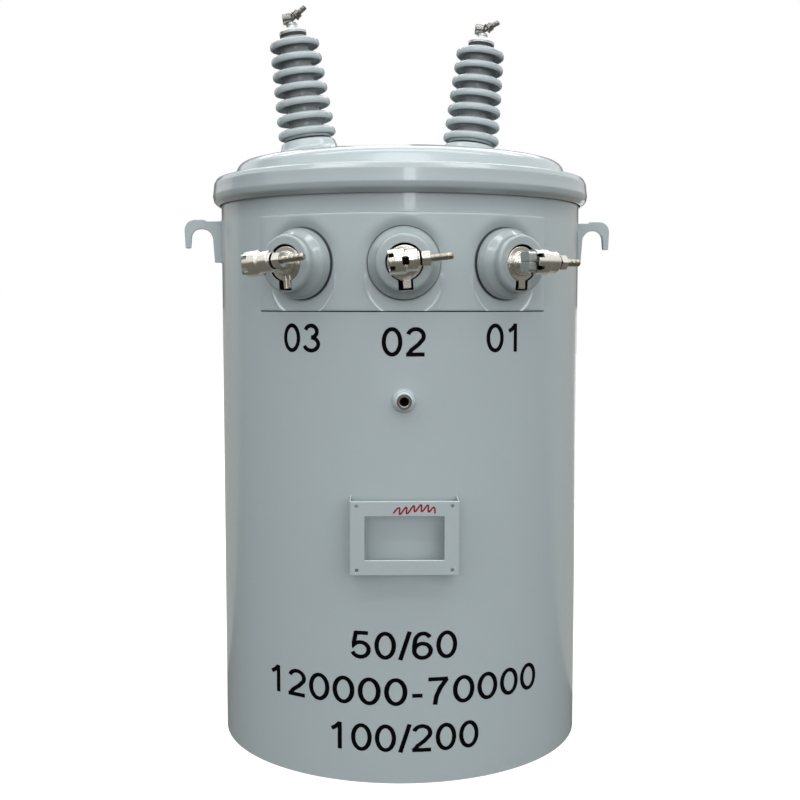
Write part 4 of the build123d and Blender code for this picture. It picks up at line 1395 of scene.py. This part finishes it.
def channel(node, side, sheet, bend, inner_bend, steps):
    """Sheet bent twice, with both legs fitted to the wall: behind for side 1, in front for -1."""
    (left, front, low), (right, back, high) = box_of(node)
    half = (right - left) / 2
    face = back if side > 0 else front
    inner, inner_face = half - sheet, face - side * sheet
    foot, inner_foot = (side * ((wall_radius**2 - x**2) ** 0.5 + 0.4) for x in (half, inner))
    corners = [
        (half, foot), (half, face, bend), (-half, face, bend), (-half, foot),
        (-inner, inner_foot), (-inner, inner_face, inner_bend), (inner, inner_face, inner_bend),
        (inner, inner_foot),
    ]
    seat, tall = shifted(Matrix(), 0, 0, (low + high) / 2), (high - low) / 2
    return slab(seat, corners, -tall, tall, steps), half, face


def front_seat(y, z):
    """Seat that faces forwards, at a place on the object's middle plane."""
    return seat_from(rightward, forward, Vector((0, y * mm, z * mm)))


def hanger_mesh(name):
    """Channel hanger bent from plate, with an upright slot and welded legs."""
    node = f"hanger_{name}"
    body, half, face = channel(node, 1, 6, 9, 3, 8)
    low, high = box_of(node)[:, 2]
    radius, reach = 10.3, 9.7
    slot = [
        (side * radius * cos(turn), side * (reach + radius * sin(turn)))
        for side in (1, -1)
        for turn in np.linspace(0, pi, 17)
    ]
    tool = slab(front_seat(face + 5, (low + high) / 2), slot, 0, 20)
    parts = [softened(cut(body, tool), 0.9)]
    for side in (-1, 1):
        turn = pi - side * np.arcsin((half + 1.2) / wall_radius)
        parts.append(weld(up_wall(turn, low, high, 30), 6, 20 + side))
    return joined(*parts)


def make_ground_boss():
    """Turned boss with its weld, and the thread inside, painted black as painted shade in the hole.
    """
    seat = wall_seat(0, wall_radius, middle_of("ground_boss").z / mm)
    length = rise_in("ground_boss", seat)[1]
    floor, mouth = length - 18, 7.0
    corners = [
        (0, -0.5), (15.5, -0.5), (13.4, 3, 3), (12.6, length * 0.45, 4), (10.4, length * 0.66, 3),
        (10.4, length, 0.9), (6.4, length, 0.7), (6.2, floor), (0, floor),
    ]
    body = turned(seat, corners, 96, 6, False)
    boss = piece("grounding_boss", body, "fitting", "boss_steel", "ground_boss")
    # The shoulder gets the lighter paint: painted highlight
    lined(boss, "thick", lambda x, y, z: z < length * 0.75, seat)
    lined(boss, "faced", lambda x, y, z: z > length - 0.6, seat)
    lined(boss, "steel", lambda x, y, z: hypot(x, y) < mouth, seat)
    # The hole is painted black: painted shade
    lined(boss, "bore", lambda x, y, z: hypot(x, y) < mouth and z < length - 0.72, seat)
    low, high = floor + 0.5, length - 1.2
    sleeve = turned(seat, [(5.9, low), (6.3, low), (6.3, high), (5.9, high)], 64)
    ridge = threads(seat, length - 17, length - 1.6, 5.9, 1.75)
    # The thread is painted black as painted shade in the hole
    piece("grounding_thread", joined(sleeve, ridge), "bore", "boss_steel", sharp=30)
    foot = [seat @ Vector((*place, -0.4 * mm)) for place in circle_outline(15, 60)]
    piece("grounding_weld", weld(foot, 4.2, 31, True), "fitting", "tank_paint")


def make_plate_bracket():
    """Bent sheet bracket with its window, four holes and two welded flanges."""
    node = "nameplate_bracket"
    body, half, face = channel(node, -1, 2, 2.6, 0.8, 6)
    low, high = box_of(node)[:, 2]
    middle = (low + high) / 2
    front = front_seat(face, middle)
    tools = [extruded(box_outline(108, 60, 0.8), front, -5, 5)]
    for x in (-65, 65):
        for y in (-44, 44):
            tools.append(extruded(circle_outline(2.4, 32), shifted(front, x, y, 0), -5, 5))
    shaped = softened(cut(body, joined(*tools)), 0.85, 3)
    bent = piece("plate_bracket", shaped, "fitting", "tank_paint", node)
    sill = middle - 30

    # The top edge and the window's sill get the lighter paint: painted highlights
    def painted_highlight_edge(x, y, z):
        return z > high - 0.85 or (abs(x) < 54 and sill - 0.85 < z < sill + 0.1)

    lined(bent, "thick", painted_highlight_edge)
    beads = []
    for side in (-1, 1):
        turn = side * np.arcsin((half + 0.6) / wall_radius)
        for start in (low + 12, high - 34):
            beads.append(weld(up_wall(turn, start, start + 22, 8), 3.2, 40 + side))
    piece("bracket_welds", joined(*beads), "fitting", "tank_paint")


class TRANSFORMER_OT_brackets(bpy.types.Operator):
    """Build the lifting hooks, the pole hangers, the grounding boss and the plate bracket"""

    bl_idname = "transformer.brackets"
    bl_label = "Hooks, hangers and brackets"

    def execute(self, context):
        makers = (
            ("flame_cut_hook", hook_mesh, "lifting_hook", ("left", "right")),
            ("pole_hanger", hanger_mesh, "hanger", ("lower", "upper")),
        )
        for kind, maker, node, names in makers:
            for name in names:
                mesh = maker(name)
                piece(f"{kind}_{name}", mesh, "fitting", "tank_paint", f"{node}_{name}")
        make_ground_boss()
        make_plate_bracket()
        repainted("core", "core")
        repainted("coil", "wrap")
        return {"FINISHED"}


# ---- Markings -----------------------------------------------------------------------


def bow(x, y, width, height, start, stop, steps=14):
    """Points along part of an oval, with angles in degrees."""
    turns = np.radians(np.linspace(start, stop, steps + 1))
    return [(x + width * cos(turn), y + height * sin(turn)) for turn in turns]


# Strokes of each digit, down the middle of the brush, in a box one unit high
digit_strokes = {
    "0": [bow(0.34, 0.5, 0.27, 0.44, 0, 360, 36)],
    "1": [[(0.40, 0), (0.40, 1)], [(0.12, 0.73), (0.27, 0.82), (0.40, 0.97)]],
    "2": [
        bow(0.34, 0.69, 0.26, 0.25, 165, -25) + [(0.42, 0.40), (0.20, 0.22), (0.09, 0.06)],
        [(0.02, 0.06), (0.63, 0.06)],
    ],
    "3": [bow(0.33, 0.73, 0.22, 0.21, 165, -90), bow(0.33, 0.29, 0.27, 0.23, 90, -165)],
    "4": [[(0.48, 0), (0.48, 0.98)], [(0.48, 0.94), (0.07, 0.29)], [(0.02, 0.28), (0.65, 0.28)]],
    "5": [
        [(0.58, 0.94), (0.16, 0.94)],
        [(0.19, 0.99), (0.11, 0.48)] + bow(0.33, 0.33, 0.27, 0.27, 140, -160),
    ],
    "6": [
        bow(0.34, 0.31, 0.26, 0.26, 0, 360, 30),
        bow(0.36, 0.60, 0.26, 0.34, 35, 170) + [(0.08, 0.45), (0.08, 0.3)],
    ],
    "7": [[(0.04, 0.94), (0.63, 0.94)], [(0.60, 0.94), (0.40, 0.62), (0.28, 0.3), (0.24, 0)]],
    "/": [[(0.03, -0.02), (0.33, 1.02)]],
    "-": [[(0.04, 0.36), (0.34, 0.36)]],
}
digit_widths = {"/": 0.39, "-": 0.47}
terminal_width = 61
middle_level, outer_level = 621.5, 625.8
# Width and height above the floor of each row
rating_rows = (("50/60", 152, 198), ("120000-70000", 430, 132), ("100/200", 219, 65.5))
brush_width, brush_step = 0.142, 0.09  # shares of a digit's height


def brushed(points):
    """Left and right edge of a stroke along points, with mitred bends."""
    fine = []
    for first, second in zip(points, points[1:]):
        first, second = Vector(first), Vector(second)
        pieces = max(1, int((second - first).length / brush_step + 0.5))
        fine += [first.lerp(second, step / pieces) for step in range(pieces)]
    fine.append(Vector(points[-1]))
    closed = (fine[0] - fine[-1]).length < 1e-6
    edges = []
    for index, here in enumerate(fine):
        before = fine[index - 1] if index else (fine[-2] if closed else here)
        after = fine[index + 1] if index < len(fine) - 1 else (fine[1] if closed else here)
        ways = [way.normalized() for way in (here - before, after - here) if way.length > 1e-9]
        way = sum(ways, Vector((0, 0))).normalized()
        side = Vector((-way.y, way.x)) * (brush_width / 2) / max(0.5, way.dot(ways[0]))
        edges.append((here + side, here - side))
    return edges


def stencilled(words, height, width, azimuth, level):
    """Digits laid round the wall as a thin skin of paint."""
    advance = [digit_widths.get(letter, 0.78) for letter in words]
    total = sum(advance) - 0.1
    mesh = bmesh.new()
    start, top = -total / 2, 0.16
    for letter, step in zip(words, advance):
        for stroke in digit_strokes[letter]:
            top += 0.004
            rows = []
            for pair in brushed(stroke):
                row = []
                for x, y in pair:
                    turn = azimuth + (start + x) * width / total / wall_radius
                    for lift in (0.06, top):
                        place = wall_point(turn, wall_radius + lift, level + (y - 0.5) * height)
                        row.append(mesh.verts.new(place))
                rows.append(row)
            for here, there in zip(rows, rows[1:]):
                for first, second in ((0, 1), (1, 3), (3, 2), (2, 0)):
                    mesh.faces.new((here[first], here[second], there[second], there[first]))
            if (rows[0][0].co - rows[-1][0].co).length > 1e-6:
                for row in (rows[0], rows[-1]):
                    mesh.faces.new((row[0], row[1], row[3], row[2]))
        start += step
    return tidied(mesh)


def make_marker_stroke():
    """A hand-drawn red wave on the bracket's top strip."""
    (_, front, _), (_, _, top) = box_of("nameplate_bracket")
    curve = bpy.data.curves.new("stroke", "CURVE")
    curve.dimensions, curve.bevel_depth, curve.bevel_resolution = "3D", 1.15 * mm, 2
    draw = random.Random(7)
    count, swing, advance, slant = 13, 12.5, 4.7, 0.4
    spline = curve.splines.new("NURBS")
    spline.points.add(count - 1)
    for step, point in enumerate(spline.points):
        y = (swing if step % 2 else -swing) * draw.uniform(0.55, 1.1)
        if step in (0, count - 1):
            y *= 0.6
        point.co = ((step * advance + slant * y - 13) * mm, y * mm, 0, 1)
    spline.order_u, spline.use_endpoint_u = 3, True
    data = result_of(linked("stroke", curve))
    data.transform(front_seat(front - 0.05, top - 11) @ Matrix.Diagonal((1, 1, 0.12, 1)))
    piece("marker_stroke", data, "marker", "tank_paint")


class TRANSFORMER_OT_markings(bpy.types.Operator):
    """Build the stencilled numbers and the marker stroke on the bracket"""

    bl_idname = "transformer.markings"
    bl_label = "Markings"

    def execute(self, context):
        sizes = context.scene.transformer_marks
        for number, word in zip(lv_numbers, sizes.terminal_words.split()):
            azimuth = azimuth_of(f"lv_gasket_{number}")
            level = middle_level if number == 2 else outer_level
            mesh = stencilled(word, sizes.small_height / mm, terminal_width, azimuth, level)
            piece(f"terminal_digit_{number}", mesh, "ink", "tank_paint", sharp=30)
        for row, (words, width, level) in enumerate(rating_rows, 1):
            mesh = stencilled(words, sizes.large_height / mm, width, 0.0, level)
            piece(f"rating_row_{row}", mesh, "ink", "tank_paint", sharp=30)
        make_marker_stroke()
        return {"FINISHED"}


# ---- Stage --------------------------------------------------------------------------


def area_light(name, place, target, size, power):
    """Soft rectangular lamp that points at a target."""
    lamp = bpy.data.lights.new(name, "AREA")
    lamp.shape, lamp.size, lamp.size_y = "RECTANGLE", *size
    lamp.energy = power
    thing = linked(name, lamp)
    thing.location = place
    thing.rotation_euler = (Vector(target) - Vector(place)).to_track_quat("-Z", "Y").to_euler()
    thing.visible_camera = thing.visible_glossy = False


def white_backed(nodes, plain, white):
    """Mixes a shader with plain white for what the camera and clear reflections see."""
    rays = nodes.add("ShaderNodeLightPath").socket.node.outputs
    kinds = ("Camera", "Glossy", "Transmission")
    camera, glossy, clear = (Wire(nodes, rays[f"Is {kind} Ray"]) for kind in kinds)
    seen = camera.maths("MAXIMUM", camera, glossy.maths("MAXIMUM", glossy, clear))
    return nodes.add("ShaderNodeMixShader", {0: seen, 1: plain, 2: white})


def make_world():
    """Even daylight, white where it is seen."""
    world = bpy.data.worlds.new("studio")
    bpy.context.scene.world = world
    world.use_nodes = True
    nodes = Nodes(world.node_tree)
    nodes.tree.nodes.clear()
    fill = nodes.add("ShaderNodeBackground", {"Color": (0.95, 0.98, 1, 1), "Strength": 0.95})
    white = nodes.add("ShaderNodeBackground", {"Color": (1, 1, 1, 1), "Strength": 1.0})
    nodes.add("ShaderNodeOutputWorld", {0: white_backed(nodes, fill, white)})


def staged(name, mesh):
    """A piece of the stage, and the nodes of its empty material."""
    data = data_of(mesh, name)
    thing = linked(name, data)
    material = bpy.data.materials.new(name)
    material.use_nodes = True
    data.materials.append(material)
    nodes = Nodes(material.node_tree)
    nodes.tree.nodes.clear()
    return thing, nodes


def make_floor():
    """Pale floor that keeps the object's shadow."""
    _, nodes = staged("floor", extruded(circle_outline(14000, 96), Matrix(), -20, 0))
    dull, plain = (
        nodes.add("ShaderNodeBsdfDiffuse", {"Color": (grey, grey, grey, 1)}) for grey in (0.09, 0.5)
    )
    glow = nodes.add("ShaderNodeEmission", {"Color": (1, 1, 1, 1), "Strength": 0.72})
    lit = nodes.add("ShaderNodeAddShader", {0: plain, 1: glow})
    nodes.add("ShaderNodeOutputMaterial", {0: white_backed(nodes, dull, lit)})


def card(name, mesh, colour, strength=1.0, fade=None):
    """Studio card that only reflections see; it may fade to white between two heights."""
    thing, nodes = staged(name, mesh)
    glow = (*colour, 1)
    if fade:
        height = nodes.add("ShaderNodeTexCoord", output=3).axes()[2]
        glow = height.over(*fade).mix(colour, (1, 1, 1))
    shader = nodes.add("ShaderNodeEmission", {"Color": glow, "Strength": strength})
    nodes.add("ShaderNodeOutputMaterial", {0: shader})
    for kind in ("camera", "diffuse", "shadow", "transmission", "volume_scatter"):
        setattr(thing, f"visible_{kind}", False)


def upright(azimuth, distance, height, width, tall):
    """A flat card that faces the tank's axis."""
    seat = wall_seat(radians(azimuth), distance, height)
    return extruded(box_outline(width, tall), seat, 0, 10)


class TRANSFORMER_OT_stage(bpy.types.Operator):
    """Build the floor, the lights and the camera"""

    bl_idname = "transformer.stage"
    bl_label = "Stage"

    def execute(self, context):
        sizes, scene = context.scene.transformer_stage, context.scene
        scene.view_settings.view_transform = "Standard"
        make_world()
        make_floor()
        for row, y in enumerate((-3.4, -1.1, 1.3, 3.6)):
            area_light(f"tube_{row}", (0, y, 3.7), (0, y, 0), (6.0, 0.4), 31)
            tube = extruded(box_outline(6000, 700), Matrix.Translation((0, y, 3.68)), 0, 10)
            card(f"tube_card_{row}", tube, (1, 1, 1), 5.5)
        area_light("front_fill", (0.5, -4.6, 1.7), (0, 0, 0.55), (3.4, 2.2), 66)
        card("window_card", upright(4.4, 3200, 1580, 360, 1100), (0.90, 0.95, 1), 6.5)
        skirt = rounded([(6900, 2), (6920, 2), (6920, 3000), (6900, 3000)])
        arcs = ((-172, -122, 0.42), (-122, 106, 0.17), (106, 152, 0.42))
        for number, (start, stop, level) in enumerate(arcs):
            grey = (level, level * 0.98, level * 0.86)
            edge = np.radians(np.linspace(start, stop, 40))
            pie = [(0, 0)] + [wall_point(turn, 7000, 0)[:2] for turn in edge]
            card(f"floor_card_{number}", extruded(pie, Matrix(), 1, 2), grey)
            sweep = radians(stop - start)
            around = lathe(skirt, Matrix(), 60, True, radians(start - 90), sweep)
            card(f"low_wall_card_{number}", around, grey, 1.0, (0.5, 2.9))
        flags = (("left", -103, 2200), ("right", 164, 1800), ("back", -163, 1800))
        for side, azimuth, width in flags:
            flag = upright(azimuth, 3600, 1750, width, 2200)
            card(f"{side}_flag", flag, (0.12, 0.13, 0.13))
        camera = bpy.data.cameras.new("camera")
        camera.lens, camera.sensor_width = sizes.lens, 36.0
        thing = linked("camera", camera)
        out = Vector((sin(sizes.azimuth), -cos(sizes.azimuth), 0))
        thing.location = out * sizes.distance + up * sizes.height
        sight = -out * cos(sizes.pitch) - up * sin(sizes.pitch)
        thing.rotation_euler = sight.to_track_quat("-Z", "Y").to_euler()
        scene.camera = thing
        return {"FINISHED"}


# ---- Panel and start ----------------------------------------------------------------

build_steps = (
    TRANSFORMER_OT_tank,
    TRANSFORMER_OT_lid,
    TRANSFORMER_OT_ring,
    TRANSFORMER_OT_lv_bushings,
    TRANSFORMER_OT_lv_terminals,
    TRANSFORMER_OT_hv_bushings,
    TRANSFORMER_OT_hv_terminals,
    TRANSFORMER_OT_brackets,
    TRANSFORMER_OT_markings,
    TRANSFORMER_OT_stage,
)


class TRANSFORMER_PT_build(bpy.types.Panel):
    """Buttons that build the transformer, piece by piece"""

    bl_label = "Transformer"
    bl_idname = "TRANSFORMER_PT_build"
    bl_space_type = "VIEW_3D"
    bl_region_type = "UI"
    bl_category = "Transformer"

    def draw(self, context):
        for group in property_groups:
            settings = getattr(context.scene, group)
            for name in settings.__annotations__:
                self.layout.prop(settings, name)
        for step in build_steps:
            self.layout.operator(step.bl_idname)


property_groups = {
    "transformer_colours": TransformerColours,
    "transformer_tank": TankSizes,
    "transformer_marks": MarkSizes,
    "transformer_stage": StageSizes,
}
classes = (*property_groups.values(), *build_steps, TRANSFORMER_PT_build)


def register():
    for cls in classes:
        bpy.utils.register_class(cls)
    for name, group in property_groups.items():
        setattr(bpy.types.Scene, name, PointerProperty(type=group))


def unregister():
    for name in property_groups:
        delattr(bpy.types.Scene, name)
    for cls in reversed(classes):
        bpy.utils.unregister_class(cls)


def main():
    register()
    make_finishes()
    for step in build_steps:
        group, name = step.bl_idname.split(".")
        getattr(getattr(bpy.ops, group), name)()


if __name__ == "__main__":
    main()
